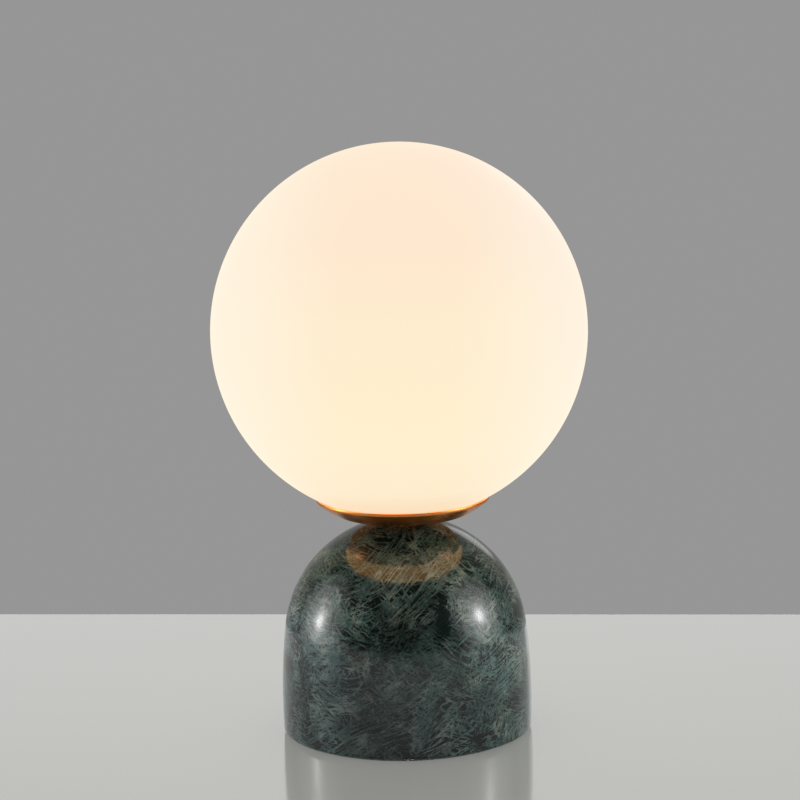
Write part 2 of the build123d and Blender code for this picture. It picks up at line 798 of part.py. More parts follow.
# Screw cap: each turn of the rolled thread is a round crest and a round root.
with BuildPart() as bulb_cap:
    with BuildSketch(Plane.XZ):
        with BuildLine():
            pitch_radius = (cap_crest_radius + cap_root_radius) / 2
            Polyline(
                (insulator_top_radius - cap_sheet, cap_bottom),
                (insulator_top_radius, cap_bottom),
                (pitch_radius, thread_bottom),
            )
            for turn in range(cap_turns):
                start = thread_bottom + turn * cap_pitch
                ThreePointArc(
                    (pitch_radius, start),
                    (cap_crest_radius, start + cap_pitch / 4),
                    (pitch_radius, start + cap_pitch / 2),
                )
                ThreePointArc(
                    (pitch_radius, start + cap_pitch / 2),
                    (cap_root_radius, start + cap_pitch * 3 / 4),
                    (pitch_radius, start + cap_pitch),
                )
            Polyline(
                (pitch_radius, thread_top),
                (pitch_radius, cap_top),
                (cap_inside, cap_top),
                (cap_inside, thread_bottom),
                (insulator_top_radius - cap_sheet, cap_bottom),
            )
        make_face()
    revolve(axis=Axis.Z)
bulb_cap.part.label = "bulb_cap"
export_step(bulb_cap.part, "parts/bulb_cap.step")

spigot_radius = cap_inside - hole_clearance
neck_top = cap_top + housing_neck_height
bulb_housing = turned(
    [
        (housing_bore_radius, cap_top - housing_spigot_length),
        (spigot_radius, cap_top - housing_spigot_length),
        (spigot_radius, cap_top),
        (housing_neck_radius, cap_top),
        (housing_neck_radius, neck_top),
        (housing_top_radius, housing_top),
        (housing_bore_radius, housing_top),
    ]
)
bulb_housing.part.label = "bulb_housing"
export_step(bulb_housing.part, "parts/bulb_housing.step")

bulb_inside = bulb_radius - bulb_wall
with BuildPart() as bulb_envelope:
    with BuildSketch(Plane.XZ):
        with BuildLine():
            mouth_inside = sqrt(bulb_inside**2 - (bulb_centre - housing_top) ** 2)
            ThreePointArc(
                (housing_top_radius, housing_top),
                (bulb_radius, bulb_centre),
                (0, bulb_centre + bulb_radius),
            )
            Line((0, bulb_centre + bulb_radius), (0, bulb_centre + bulb_inside))
            ThreePointArc(
                (0, bulb_centre + bulb_inside),
                (bulb_inside, bulb_centre),
                (mouth_inside, housing_top),
            )
            Line((mouth_inside, housing_top), (housing_top_radius, housing_top))
        make_face()
    revolve(axis=Axis.Z)
bulb_envelope.part.label = "bulb_envelope"
export_step(bulb_envelope.part, "parts/bulb_envelope.step")

with BuildPart() as bulb_led_board:
    with BuildSketch(Plane.XY.offset(housing_top)):
        Circle(led_board_radius)
    extrude(amount=led_board_thickness)
bulb_led_board.part.label = "bulb_led_board"
export_step(bulb_led_board.part, "parts/bulb_led_board.step")

with BuildPart() as bulb_led_chips:
    with BuildSketch(Plane.XY.offset(housing_top + led_board_thickness)):
        with PolarLocations(led_circle_radius, led_count):
            Rectangle(led_side, led_side)
    extrude(amount=led_thickness)
bulb_led_chips.part.label = "bulb_led_chips"
export_step(bulb_led_chips.part, "parts/bulb_led_chips.step")

with BuildPart() as bulb_driver_board:
    with BuildSketch(Plane.XY.offset(housing_top - driver_gap - driver_height)):
        Rectangle(driver_width, driver_thickness)
    extrude(amount=driver_height)
bulb_driver_board.part.label = "bulb_driver_board"
export_step(bulb_driver_board.part, "parts/bulb_driver_board.step")


# ---------------------------------------------------------------- wiring

block_length = block_poles * block_pitch + 2 * block_end_wall
block_middle = -(block_front - block_depth / 2)
pole_reaches = [wire_offset + (pole - (block_poles - 1) / 2) * block_pitch for pole in range(block_poles)]
sleeve_plane = Plane(origin=(0, block_middle, wire_height), x_dir=(1, 0, 0), z_dir=(0, 1, 0))

with BuildPart() as terminal_block:
    with BuildSketch(Plane.XY.offset(block_bottom)):
        with Locations((wire_offset, block_middle)):
            RectangleRounded(block_length, block_depth, block_edge_radius)
    extrude(amount=block_height)
    with BuildSketch(sleeve_plane):
        with Locations(*[(reach, 0) for reach in pole_reaches]):
            Circle(sleeve_radius + hole_clearance)
    extrude(amount=block_depth, both=True, mode=Mode.SUBTRACT)
    with BuildSketch(Plane.XY.offset(wire_height)):
        with Locations((wire_offset, block_middle)):
            with GridLocations(block_pitch, clamp_screw_spacing, block_poles, 2):
                Circle(clamp_screw_well_radius)
    extrude(amount=block_height, mode=Mode.SUBTRACT)
terminal_block.part.label = "terminal_block"
export_step(terminal_block.part, "parts/terminal_block.step")

with BuildPart() as terminal_sleeves:
    with BuildSketch(sleeve_plane):
        with Locations(*[(reach, 0) for reach in pole_reaches]):
            Circle(sleeve_radius)
            Circle(sleeve_bore_radius, mode=Mode.SUBTRACT)
    extrude(amount=sleeve_length / 2, both=True)
    with BuildSketch(Plane.XY.offset(wire_height)):
        with Locations((wire_offset, block_middle)):
            with GridLocations(block_pitch, clamp_screw_spacing, block_poles, 2):
                Circle(clamp_screw_radius + hole_clearance)
    extrude(amount=block_height, mode=Mode.SUBTRACT)
terminal_sleeves.part.label = "terminal_sleeves"
export_step(terminal_sleeves.part, "parts/terminal_sleeves.step")

clamp_screw_bottom = wire_height + wire_radius + clamp_gap
with BuildPart() as terminal_clamp_screws:
    with BuildSketch(Plane.XY.offset(clamp_screw_bottom)):
        with Locations((wire_offset, block_middle)):
            with GridLocations(block_pitch, clamp_screw_spacing, block_poles, 2):
                Circle(clamp_screw_radius)
    extrude(amount=clamp_screw_height)
    with BuildSketch(Plane.XY.offset(clamp_screw_bottom + clamp_screw_height)):
        with Locations((wire_offset, block_middle)):
            with GridLocations(block_pitch, clamp_screw_spacing, block_poles, 2):
                Rectangle(2 * clamp_screw_radius, clamp_screw_slot)
    extrude(amount=-clamp_screw_radius / 2, mode=Mode.SUBTRACT)
terminal_clamp_screws.part.label = "terminal_clamp_screws"
export_step(terminal_clamp_screws.part, "parts/terminal_clamp_screws.step")


def core_to_holder(pole_reach, side):
    """A core from the terminal block, up the rod, to its terminal under the insert."""
    rise = wire_offset * side
    turn_height = (rod_top + insert_bottom) / 2
    points = [
        (pole_reach, block_rear - wire_grip, wire_height),
        (pole_reach, 0, wire_height),
        (rise, 0, wire_height),
        (rise, 0, turn_height),
        (terminal_spacing / 2 * side, 0, turn_height),
        (terminal_spacing / 2 * side, 0, insert_bottom),
    ]
    radii = [wire_bend_radius, wire_bend_radius, wire_top_bend_radius, wire_top_bend_radius]
    if abs(pole_reach - rise) < wire_bend_radius:
        points.pop(2)
        radii.pop(0)
    return wire(points, radii)


live_wire = core_to_holder(pole_reaches[0], -1)
live_wire.part.label = "live_wire"
export_step(live_wire.part, "parts/live_wire.step")

neutral_wire = core_to_holder(pole_reaches[1], 1)
neutral_wire.part.label = "neutral_wire"
export_step(neutral_wire.part, "parts/neutral_wire.step")

earth_wire = wire(
    [
        (pole_reaches[2], block_rear - wire_grip, wire_height),
        (pole_reaches[2], 0, wire_height),
        (earth_wire_reach, 0, wire_height),
        (earth_wire_reach, 0, lug_barrel_height),
        (lug_barrel_start, 0, lug_barrel_height),
    ],
    [earth_bend_radius] * 3,
)
earth_wire.part.label = "earth_wire"
export_step(earth_wire.part, "parts/earth_wire.step")

print(f"dome radius {dome_radius:.2f}, neck seat at {neck_seat_height:.2f}, dish at {dish_bottom:.2f}")
print(f"globe centre {globe_centre:.2f}, top {globe_centre + globe_radius:.2f}")
print(f"bulb from {bulb_bottom:.2f} to {bulb_centre + bulb_radius:.2f}, skirt top {skirt_top:.2f}")
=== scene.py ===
# %% [markdown]
# # A glass globe table lamp
#
# The lamp is an opal glass globe in a spun brass dish, on a polished block of dark green marble.
# The CAD model fixes every size and place. This file dresses it: the pieces that show most are
# made again with smooth surfaces, and every other piece gets the finish of its real material.
# All lengths are in metres, in the same frame as the CAD, with the front towards -Y.

# %% Load the frame
import json
from math import acos, asin, atan2, cos, hypot, pi, radians, sin, sqrt, tan

import bmesh
import bpy
from mathutils import Matrix, Vector

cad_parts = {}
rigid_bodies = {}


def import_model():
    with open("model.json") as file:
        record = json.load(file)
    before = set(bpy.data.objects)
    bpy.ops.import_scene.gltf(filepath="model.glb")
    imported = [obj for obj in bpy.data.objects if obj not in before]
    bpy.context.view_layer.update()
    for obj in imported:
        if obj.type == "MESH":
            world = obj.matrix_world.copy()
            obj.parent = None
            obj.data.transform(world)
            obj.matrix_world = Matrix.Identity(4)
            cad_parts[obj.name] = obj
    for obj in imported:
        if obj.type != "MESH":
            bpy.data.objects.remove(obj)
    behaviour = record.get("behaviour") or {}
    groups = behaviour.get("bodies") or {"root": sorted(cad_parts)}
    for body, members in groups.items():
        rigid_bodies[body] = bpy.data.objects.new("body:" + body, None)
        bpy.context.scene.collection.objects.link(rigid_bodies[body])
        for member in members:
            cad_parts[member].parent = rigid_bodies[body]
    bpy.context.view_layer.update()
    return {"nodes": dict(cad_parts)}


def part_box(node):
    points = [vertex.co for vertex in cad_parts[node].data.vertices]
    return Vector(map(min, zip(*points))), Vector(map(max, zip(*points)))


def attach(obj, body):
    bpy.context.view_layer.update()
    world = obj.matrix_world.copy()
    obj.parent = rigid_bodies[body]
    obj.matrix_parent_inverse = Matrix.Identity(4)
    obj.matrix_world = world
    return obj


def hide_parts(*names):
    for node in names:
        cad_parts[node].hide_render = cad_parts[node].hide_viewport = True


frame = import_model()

nodes = frame["nodes"]
MM = 0.001

# %% [markdown]
# ## Tools for turned pieces
#
# Most of this lamp is turned, spun or blown: one outline, taken round one axis. The outline is
# drawn in the XZ plane, a stroke at a time, by pulling one vertex along: extrude makes a straight
# stroke, and spinning the vertex about a point makes an arc. The other ways are a Screw modifier
# on a curve, or a primitive cut to shape. Spinning gives clean rings of faces, and the ring of
# edges at each corner is easy to find again and ease.


# %% Outline, spin and eased edges
class Outline:
    """Half a section in the XZ plane, drawn stroke by stroke."""

    def __init__(self, reach, height):
        self.mesh = bmesh.new()
        self.first = self.tip = self.mesh.verts.new((reach, 0, height))

    def line(self, reach, height, steps=1):
        """A straight stroke, in as many steps as the rings of faces need."""
        start = self.tip.co.copy()
        end = Vector((reach, 0, height))
        for step in range(1, steps + 1):
            pulled = bmesh.ops.extrude_vert_indiv(self.mesh, verts=[self.tip])
            self.tip = pulled["verts"][0]
            self.tip.co = start.lerp(end, step / steps)
        return self

    def arc(self, reach, height, turn, steps):
        """An arc about this centre. A positive turn goes from +X towards +Z."""
        spun = bmesh.ops.spin(
            self.mesh, geom=[self.tip], cent=(reach, 0, height), axis=(0, -1, 0),
            angle=turn, steps=steps, use_duplicate=False,
        )
        self.tip = spun["geom_last"][0]
        return self

    def bow(self, reach, height, rise, steps):
        """An arc to this point, bowed to the right of its chord by rise."""
        start = self.tip.co.copy()
        end = Vector((reach, 0, height))
        chord = (end - start).length
        radius = (chord**2 / 4 + rise**2) / (2 * abs(rise))
        along = (end - start) / chord
        way = 1 if rise > 0 else -1
        side = Vector((along.z, 0, -along.x)) * way
        centre = start.lerp(end, 0.5) - side * (radius - abs(rise))
        turn = 2 * asin(chord / 2 / radius) * way
        return self.arc(centre.x, centre.z, turn, steps)

    def close(self):
        """A last stroke back to the start."""
        self.mesh.edges.new((self.tip, self.first))
        return self

    def spin(self, steps):
        """The outline taken once round the Z axis, closed, with its faces pointing out."""
        mesh = self.mesh
        bmesh.ops.spin(
            mesh, geom=mesh.verts[:] + mesh.edges[:], cent=(0, 0, 0), axis=(0, 0, 1),
            angle=2 * pi, steps=steps, use_merge=True, use_duplicate=False,
        )
        bmesh.ops.remove_doubles(mesh, verts=mesh.verts, dist=1e-6)
        bare = [edge for edge in mesh.edges if not edge.link_faces]
        bmesh.ops.delete(mesh, geom=bare, context="EDGES")
        bmesh.ops.recalc_face_normals(mesh, faces=mesh.faces)
        return mesh


def ring_edges(mesh, reach, height):
    """The ring of edges at this radius and height."""
    near = 0.02 * MM

    def on_ring(vertex):
        x, y, z = vertex.co
        return abs(hypot(x, y) - reach) < near and abs(z - height) < near

    return [edge for edge in mesh.edges if all(on_ring(vertex) for vertex in edge.verts)]


def ease(mesh, reach, height, radius, segments=3):
    """Rounds the corner at this radius and height."""
    bmesh.ops.bevel(
        mesh, geom=ring_edges(mesh, reach, height), offset=radius, offset_type="OFFSET",
        segments=segments, profile=0.5, affect="EDGES", material=-1,
    )


# %% [markdown]
# ## Finished pieces
#
# A piece becomes an object at the origin, unturned and unscaled, with its place in its mesh.
# It rides on the body that carries it, and stands for the CAD node with the same job. Shading is
# smooth except where two faces meet at a real corner.


# %% Finish a mesh as a piece of the lamp
def smooth(data):
    """Smooth shading that keeps the real corners sharp."""
    data.shade_smooth()
    data.set_sharp_from_angle(angle=radians(30))


def piece(name, mesh, body, node):
    """The object made from this bmesh, in the place of a CAD node."""
    data = bpy.data.meshes.new(name)
    mesh.to_mesh(data)
    mesh.free()
    smooth(data)
    made = bpy.data.objects.new(name, data)
    bpy.context.scene.collection.objects.link(made)
    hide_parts(node)
    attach(made, body)
    triangles = sum(len(face.vertices) - 2 for face in data.polygons)
    print(f"{name}: {triangles} triangles, rides on {body}")
    return made


# %% [markdown]
# ## The sizes that the outlines share
#
# The CAD boxes give the outer sizes. A few inner ones, such as the arcs of the marble, don't show
# in a box, so they are named here as the part's source names them.

# %% Sizes
base_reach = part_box("marble_base")[1][0]
base_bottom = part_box("marble_base")[0][2]
seat_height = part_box("marble_base")[1][2]
seat_reach = 13.0 * MM
widest_height = 18.0 * MM
wall_arc = 347.0 * MM
dome_centre = 51.1 * MM
foot_ease = 2.0 * MM
plate_reach = 43.3 * MM
plate_roof = 2.5 * MM
recess_reach = 34.0 * MM
recess_roof = 27.0 * MM
rod_hole = 5.75 * MM

globe_low, globe_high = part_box("glass_globe")
globe_radius = globe_high[0]
globe_centre = globe_high[2] - globe_radius
globe_wall = 3.0 * MM
mouth_height = globe_low[2]
mouth_reach = sqrt(globe_radius**2 - (globe_centre - mouth_height) ** 2)

dish_low, dish_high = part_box("brass_dish")
dish_reach = dish_high[0]
dish_bottom, dish_top = dish_low[2], dish_high[2]
print(f"globe radius {globe_radius:.4f} at {globe_centre:.4f}, mouth {mouth_reach:.4f}")
print(f"marble {base_reach:.4f} by {seat_height:.4f}, dish {dish_reach:.4f} at {dish_bottom:.4f}")

# %% [markdown]
# ## The marble base
#
# The real base is a block turned on a stone lathe: a wall that bulges slightly and runs into a
# dome, then ground and polished until it reflects like glass. A plain subdivided cylinder would
# round off wrongly, and reflections show every facet, so the two arcs are drawn as arcs that
# touch, with one degree or so a step. The hollow below is a part of the outline. The cord's hole,
# its spot face and the holes for the sleeves are cut with a Boolean, as a drill would cut them.

# %% Turn the marble
wall_axis = base_reach - wall_arc
centre_rise = dome_centre - widest_height
dome_radius = wall_arc - hypot(wall_axis, centre_rise)
touch_turn = atan2(centre_rise, -wall_axis)
seat_turn = atan2(seat_height - dome_centre, seat_reach)
foot_turn = asin((base_bottom + foot_ease - widest_height) / wall_arc)

marble = Outline(rod_hole, seat_height).line(seat_reach, seat_height)
marble.arc(0, dome_centre, touch_turn - seat_turn, 80)
marble.arc(wall_axis, widest_height, foot_turn - touch_turn, 40)
foot_reach = marble.tip.co.x
marble.arc(foot_reach - foot_ease, base_bottom + foot_ease, -pi / 2, 6)
marble.line(plate_reach, base_bottom).line(plate_reach, plate_roof).line(recess_reach, plate_roof)
marble.line(recess_reach, recess_roof).line(rod_hole, recess_roof).close()
marble_mesh = marble.spin(240)
ease(marble_mesh, seat_reach, seat_height, 0.4 * MM)
print(f"dome radius {dome_radius:.5f}, foot {foot_reach:.5f}")

# %% [markdown]
# The cutters are plain rods of the drills' sizes. They are joined in one mesh, used once and
# thrown away, so nothing of them stays in the scene.


# %% Drill the marble
def rod(mesh, radius, start, end, segments=64):
    """A closed rod between two points, added to a bmesh."""
    start, end = Vector(start), Vector(end)
    way = end - start
    place = Matrix.Translation((start + end) / 2) @ way.to_track_quat("Z", "Y").to_matrix().to_4x4()
    bmesh.ops.create_cone(
        mesh, cap_ends=True, segments=segments, radius1=radius, radius2=radius,
        depth=way.length, matrix=place,
    )


def cut(target, cutter_mesh):
    """Takes the cutter's shape out of the target's mesh."""
    data = bpy.data.meshes.new("cutter")
    bmesh.ops.recalc_face_normals(cutter_mesh, faces=cutter_mesh.faces)
    cutter_mesh.to_mesh(data)
    cutter_mesh.free()
    cutter = bpy.data.objects.new("cutter", data)
    bpy.context.scene.collection.objects.link(cutter)
    boolean = target.modifiers.new("drill", "BOOLEAN")
    boolean.operation, boolean.solver, boolean.object = "DIFFERENCE", "EXACT", cutter
    graph = bpy.context.evaluated_depsgraph_get()
    drilled = bpy.data.meshes.new_from_object(target.evaluated_get(graph))
    target.modifiers.clear()
    target.data = drilled
    bpy.data.objects.remove(cutter)
    smooth(drilled)
    print(f"{target.name} drilled: {len(drilled.polygons)} faces")


inlet_low, inlet_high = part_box("cord_grommet")
inlet_height = (inlet_low[2] + inlet_high[2]) / 2
cord_hole, spot_hole = 5.0 * MM, 7.0 * MM
spot_face = inlet_high[1] - 1.5 * MM    # the grommet's flange lies on it
in_hollow, past_wall = 30 * MM, 80 * MM
sleeve_hole, sleeve_circle, sleeve_count = 2.6 * MM, 38.6 * MM, 3
sleeve_low, sleeve_high = 1.7 * MM, 11.5 * MM

marble_base = piece("marble_dome", marble_mesh, "base", "marble_base")
drills = bmesh.new()
rod(drills, cord_hole, (0, in_hollow, inlet_height), (0, past_wall, inlet_height))
rod(drills, spot_hole, (0, spot_face, inlet_height), (0, past_wall + MM, inlet_height))
for number in range(sleeve_count):
    turn = 2 * pi * number / sleeve_count
    x, y = sleeve_circle * cos(turn), sleeve_circle * sin(turn)
    rod(drills, sleeve_hole, (x, y, sleeve_low), (x, y, sleeve_high), segments=32)
cut(marble_base, drills)

# %% [markdown]
# ## The glass globe
#
# The globe is blown from white opal glass, with a wall of about 3 mm, and its open mouth is ground
# flat. A UV sphere would do from outside, but the mouth and the inner wall show when the globe is
# lifted off, so the outline has both walls and the wall's end between them.

# %% Blow the globe
inner_radius = globe_radius - globe_wall
mouth_turn = atan2(mouth_height - globe_centre, mouth_reach)
inner_turn = -acos(mouth_reach / inner_radius)
globe = Outline(mouth_reach, mouth_height)
globe.arc(0, globe_centre, pi / 2 - mouth_turn, 110)
globe.line(0, globe_centre + inner_radius)
globe.arc(0, globe_centre, inner_turn - pi / 2, 90).close()
globe_mesh = globe.spin(256)
ease(globe_mesh, mouth_reach, mouth_height, 0.8 * MM)
opal_globe = piece("opal_globe", globe_mesh, "globe", "glass_globe")

# %% [markdown]
# ## The brass dish
#
# The dish is spun from a brass disc over a wooden form: a flat floor, a flared side, and a narrow
# upright band round the rim that just clears the glass. Its sheet keeps one thickness, so the
# inner line follows the outer one. The band is what catches the light in the photograph, so its
# corners are eased like a rolled edge.

# %% Spin the dish
sheet = 0.8 * MM
floor_reach = 34.6 * MM
side_slope, side_bulge = radians(32.5), 0.4 * MM
side_run = dish_reach - floor_reach
side_rise = side_run * tan(side_slope)
band_bottom = dish_bottom + side_rise
rod_clear = 5.25 * MM
chord_turn = atan2(side_rise, side_run)
half_bow = 2 * atan2(2 * side_bulge, hypot(side_rise, side_run))
inner_floor = floor_reach - sheet * tan((chord_turn - half_bow) / 2)
inner_band = band_bottom + sheet * tan((pi / 2 - chord_turn - half_bow) / 2)
dish = Outline(rod_clear, dish_bottom).line(floor_reach, dish_bottom, 6)
dish.bow(dish_reach, band_bottom, side_bulge, 16).line(dish_reach, dish_top)
dish.line(dish_reach - sheet, dish_top).line(dish_reach - sheet, inner_band)
dish.bow(inner_floor, dish_bottom + sheet, -side_bulge, 16)
dish.line(rod_clear, dish_bottom + sheet, 6).close()
dish_mesh = dish.spin(240)
ease(dish_mesh, floor_reach, dish_bottom, 1.0 * MM, 5)
ease(dish_mesh, dish_reach, band_bottom, 0.4 * MM)
ease(dish_mesh, dish_reach, dish_top, 0.3 * MM)
ease(dish_mesh, dish_reach - sheet, dish_top, 0.3 * MM)
brass_dish = piece("spun_brass_dish", dish_mesh, "base", "brass_dish")

# %% [markdown]
# ## The neck
#
# Under the dish sits a short spacer of turned brass on a fibre washer. Both are almost hidden in
# the shadow between dish and marble, but their waist and eased edges show from low angles.

# %% Turn the neck
spacer_low, spacer_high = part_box("neck_spacer")
spacer_reach = spacer_high[0]
spacer = Outline(rod_clear, spacer_low[2]).line(spacer_reach, spacer_low[2])
spacer.bow(spacer_reach, spacer_high[2], -0.6 * MM, 10)
spacer.line(rod_clear, spacer_high[2]).close()
spacer_mesh = spacer.spin(128)
for height in (spacer_low[2], spacer_high[2]):
    ease(spacer_mesh, spacer_reach, height, 0.25 * MM)
neck_spacer = piece("brass_spacer", spacer_mesh, "base", "neck_spacer")

# %% [markdown]
# ## The lampholder
#
# It shows when the globe is lifted off. Its cap and skirt are moulded in black plastic. Both are
# round, so each is a list of its section's corners in millimetres above the holder's lowest face.
# A Bevel modifier would round every corner alike; here each corner that a mould rounds has its own
# radius. The lock screw's hole is drilled like those of the marble.


# %% Turn the lampholder
def turned(bottom, corners, eased, steps=128):
    """A turned piece. Corners and eased corners are in millimetres above bottom."""
    outline = None
    for reach, height in corners:
        reach, height = reach * MM, bottom + height * MM
        outline = outline.line(reach, height) if outline else Outline(reach, height)
    mesh = outline.close().spin(steps)
    for reach, height, radius in eased:
        ease(mesh, reach * MM, bottom + height * MM, radius * MM)
    return mesh


holder_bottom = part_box("holder_cap")[0][2]
cap_corners = [
    (5.05, 0), (8.5, 0), (8.5, 5), (20, 12), (20, 22), (18.2, 22), (18.2, 13.5), (17, 13.5),
    (17, 12.26), (10, 8), (5.05, 8),
]
cap_eased = [(8.5, 0, 0.5), (8.5, 5, 0.6), (20, 12, 1.5), (20, 22, 0.25)]
cap_mesh = turned(holder_bottom, cap_corners, cap_eased)
holder_cap = piece("lampholder_cap", cap_mesh, "base", "holder_cap")

screw_hole, screw_height = 1.55 * MM, holder_bottom + 2.5 * MM
drills = bmesh.new()
rod(drills, screw_hole, (0, 0, screw_height), (20 * MM, 0, screw_height), segments=32)
cut(holder_cap, drills)

skirt_corners = [
    (16.8, 20.7), (18, 20.7), (18, 22.2), (20, 22.2), (20, 58.2), (15.5, 58.2), (15.5, 56.2),
    (18.2, 56.2), (18.2, 23.7), (16.8, 23.7),
]
skirt_eased = [(20, 58.2, 0.6), (15.5, 58.2, 0.6), (20, 22.2, 0.25)]
skirt_mesh = turned(holder_bottom, skirt_corners, skirt_eased)
holder_skirt = piece("lampholder_skirt", skirt_mesh, "base", "holder_skirt")

# %% [markdown]
# ## The bulb
#
# The bulb is a milky shell over a white housing, with a screw cap below. The shell is a part of a
# hollow sphere, drawn as the globe was. The cap's thread is rolled in thin sheet: a soft wave, not
# a sharp screw, so it is drawn with arcs that bow out and in by turns.

# %% Turn the bulb
shell_low, shell_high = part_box("bulb_envelope")
bulb_radius = shell_high[0]
bulb_centre = shell_high[2] - bulb_radius
shell_mouth = sqrt(bulb_radius**2 - (bulb_centre - shell_low[2]) ** 2)
shell_wall = 1.2 * MM
shell_inner = bulb_radius - shell_wall
outside_turn = atan2(shell_low[2] - bulb_centre, shell_mouth)
inside_turn = asin((shell_low[2] - bulb_centre) / shell_inner)
shell = Outline(shell_mouth, shell_low[2]).arc(0, bulb_centre, pi / 2 - outside_turn, 48)
shell.line(0, bulb_centre + shell_inner).arc(0, bulb_centre, inside_turn - pi / 2, 40).close()
bulb_shell = piece("bulb_shell", shell.spin(128), "bulb", "bulb_envelope")

screw_low, screw_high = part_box("bulb_cap")
mean_reach, bore_reach = 12.8 * MM, 11.9 * MM
end_reach, end_bore, end_height = 10.8 * MM, 10.3 * MM, 1.8 * MM
thread_wave, thread_pitch, thread_turns = 0.4 * MM, 3.5 * MM, 5
screw = Outline(end_reach, screw_low[2]).line(mean_reach, screw_low[2] + end_height)
for turn in range(thread_turns):
    height = screw_low[2] + end_height + turn * thread_pitch
    screw.bow(mean_reach, height + thread_pitch / 2, thread_wave, 8)
    screw.bow(mean_reach, height + thread_pitch, -thread_wave, 8)
screw.line(mean_reach, screw_high[2]).line(bore_reach, screw_high[2])
screw.line(bore_reach, screw_low[2] + end_height).line(end_bore, screw_low[2]).close()
screw_cap = piece("bulb_screw_cap", screw.spin(128), "bulb", "bulb_cap")

body_low, body_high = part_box("bulb_housing")
top = (body_high[2] - body_low[2]) / MM
body_corners = [(10.5, 0), (11.85, 0), (11.85, 6), (14.2, 6), (14.2, 13), (21.6, top), (10.5, top)]
body_eased = [(14.2, 6, 0.5), (14.2, 13, 3.0), (21.6, top, 0.3)]
body_mesh = turned(body_low[2], body_corners, body_eased)
bulb_body = piece("bulb_body", body_mesh, "bulb", "bulb_housing")

# %% [markdown]
# ## The globe's ring and collar
#
# The globe screws on to a ring in the dish by a collar that is bonded in its mouth. Both threads
# are coarse and shallow. A screw's helix hardly differs from rings at this size, and rings close
# on themselves, so the threads are grooves of the section. The lengths are in millimetres.


# %% Turn the ring and the collar
groove_depth, groove_start, groove_pitch, groove_count = 0.5, 1.6, 1.6, 3


def grooves(reach, depth):
    """Corners of a shallow thread up a wall. A negative depth cuts outwards, for a nut's thread."""
    return [
        (reach - depth * cut_in, groove_start + turn * groove_pitch + part * groove_pitch / 4)
        for turn in range(groove_count)
        for part, cut_in in enumerate((0, 1, 1, 0))
    ]


ring_low, ring_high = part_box("fitter_ring")
ring_reach, ring_height = ring_high[0] / MM, (ring_high[2] - ring_low[2]) / MM
ring_bore, ring_wall, ring_floor = 5.25, 1.5, 1.2
ring_inner = ring_reach - ring_wall
ring_corners = [
    (ring_bore, 0), (ring_reach, 0), *grooves(ring_reach, groove_depth),
    (ring_reach, ring_height), (ring_inner, ring_height), (ring_inner, ring_floor),
    (ring_bore, ring_floor),
]
ring_eased = [(ring_reach, ring_height, 0.3), (ring_inner, ring_height, 0.3)]
ring_mesh = turned(ring_low[2], ring_corners, ring_eased, 192)
globe_ring = piece("globe_ring", ring_mesh, "base", "fitter_ring")

collar_low, collar_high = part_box("globe_collar")
flange_reach, collar_height = collar_high[0] / MM, (collar_high[2] - collar_low[2]) / MM
collar_gap, flange_width = 0.2, 2
collar_bore, sleeve_reach = ring_reach + collar_gap, flange_reach - flange_width
collar_corners = [
    (collar_bore, 0), (flange_reach, 0), (flange_reach, 1), (sleeve_reach, 1),
    (sleeve_reach, collar_height), (collar_bore, collar_height),
    *reversed(grooves(collar_bore, -groove_depth)),
]
collar_mesh = turned(collar_low[2], collar_corners, [(flange_reach, 0, 0.25)], 192)
collar = piece("screw_collar", collar_mesh, "globe", "globe_collar")

# %% [markdown]
# ## The cord's inlet
#
# The grommet is a small rubber ring with a rounded lip, which keeps the edge of the marble off the
# cord. It could be a torus and a tube, but one turned section has no seam between them. It is
# turned standing up and then laid down into its hole at the rear.

# %% Turn the grommet
length = 12
grommet_corners = [(3.4, 0), (4.9, 0), (4.9, 10.5), (6.5, 10.5), (6.5, length), (3.4, length)]
grommet_eased = [(6.5, length, 0.75), (3.4, length, 0.5)]
grommet_mesh = turned(0, grommet_corners, grommet_eased, 64)
inner_end = (0, inlet_high[1] - length * MM, inlet_height)
lay_down = Matrix.Translation(inner_end) @ Matrix.Rotation(-pi / 2, 4, "X")
bmesh.ops.transform(grommet_mesh, matrix=lay_down, verts=grommet_mesh.verts)
grommet = piece("inlet_grommet", grommet_mesh, "base", "cord_grommet")

# %% [markdown]
# ## The shader's arithmetic
#
# A finish is a small graph of nodes. Written as nodes, even `1 - mask` takes four lines, so one
# class wraps a socket and gives it the usual operators: each adds a Math node.


# %% Sockets with operators
class Signal:
    """A socket of a graph. Arithmetic on it adds Math nodes."""

    def __init__(self, graph, socket):
        self.graph, self.socket = graph, socket

    def math(self, operation, first, second=0.0):
        return self.graph.node("ShaderNodeMath", {"operation": operation}, {0: first, 1: second})

    def __add__(self, other):
        return self.math("ADD", self, other)

    def __radd__(self, other):
        return self.math("ADD", other, self)

    def __sub__(self, other):
        return self.math("SUBTRACT", self, other)

    def __rsub__(self, other):
        return self.math("SUBTRACT", other, self)

    def __mul__(self, other):
        return self.math("MULTIPLY", self, other)

    def __rmul__(self, other):
        return self.math("MULTIPLY", other, self)

    def __pow__(self, other):
        return self.math("POWER", self, other)

    def __abs__(self):
        return self.math("ABSOLUTE", self)

    def sine(self):
        return self.math("SINE", self)

    def brighter(self, other):
        """The larger of two numbers."""
        return self.math("MAXIMUM", other, self)

    def out(self, name):
        """Another output of the same node."""
        return Signal(self.graph, self.socket.node.outputs[name])


# %% [markdown]
# ## Nodes by one method
#
# Everything else comes from one method that adds a node. It makes the settings first, because some
# of them change which sockets there are. The other methods are the few nodes that nearly every
# finish of this lamp uses.


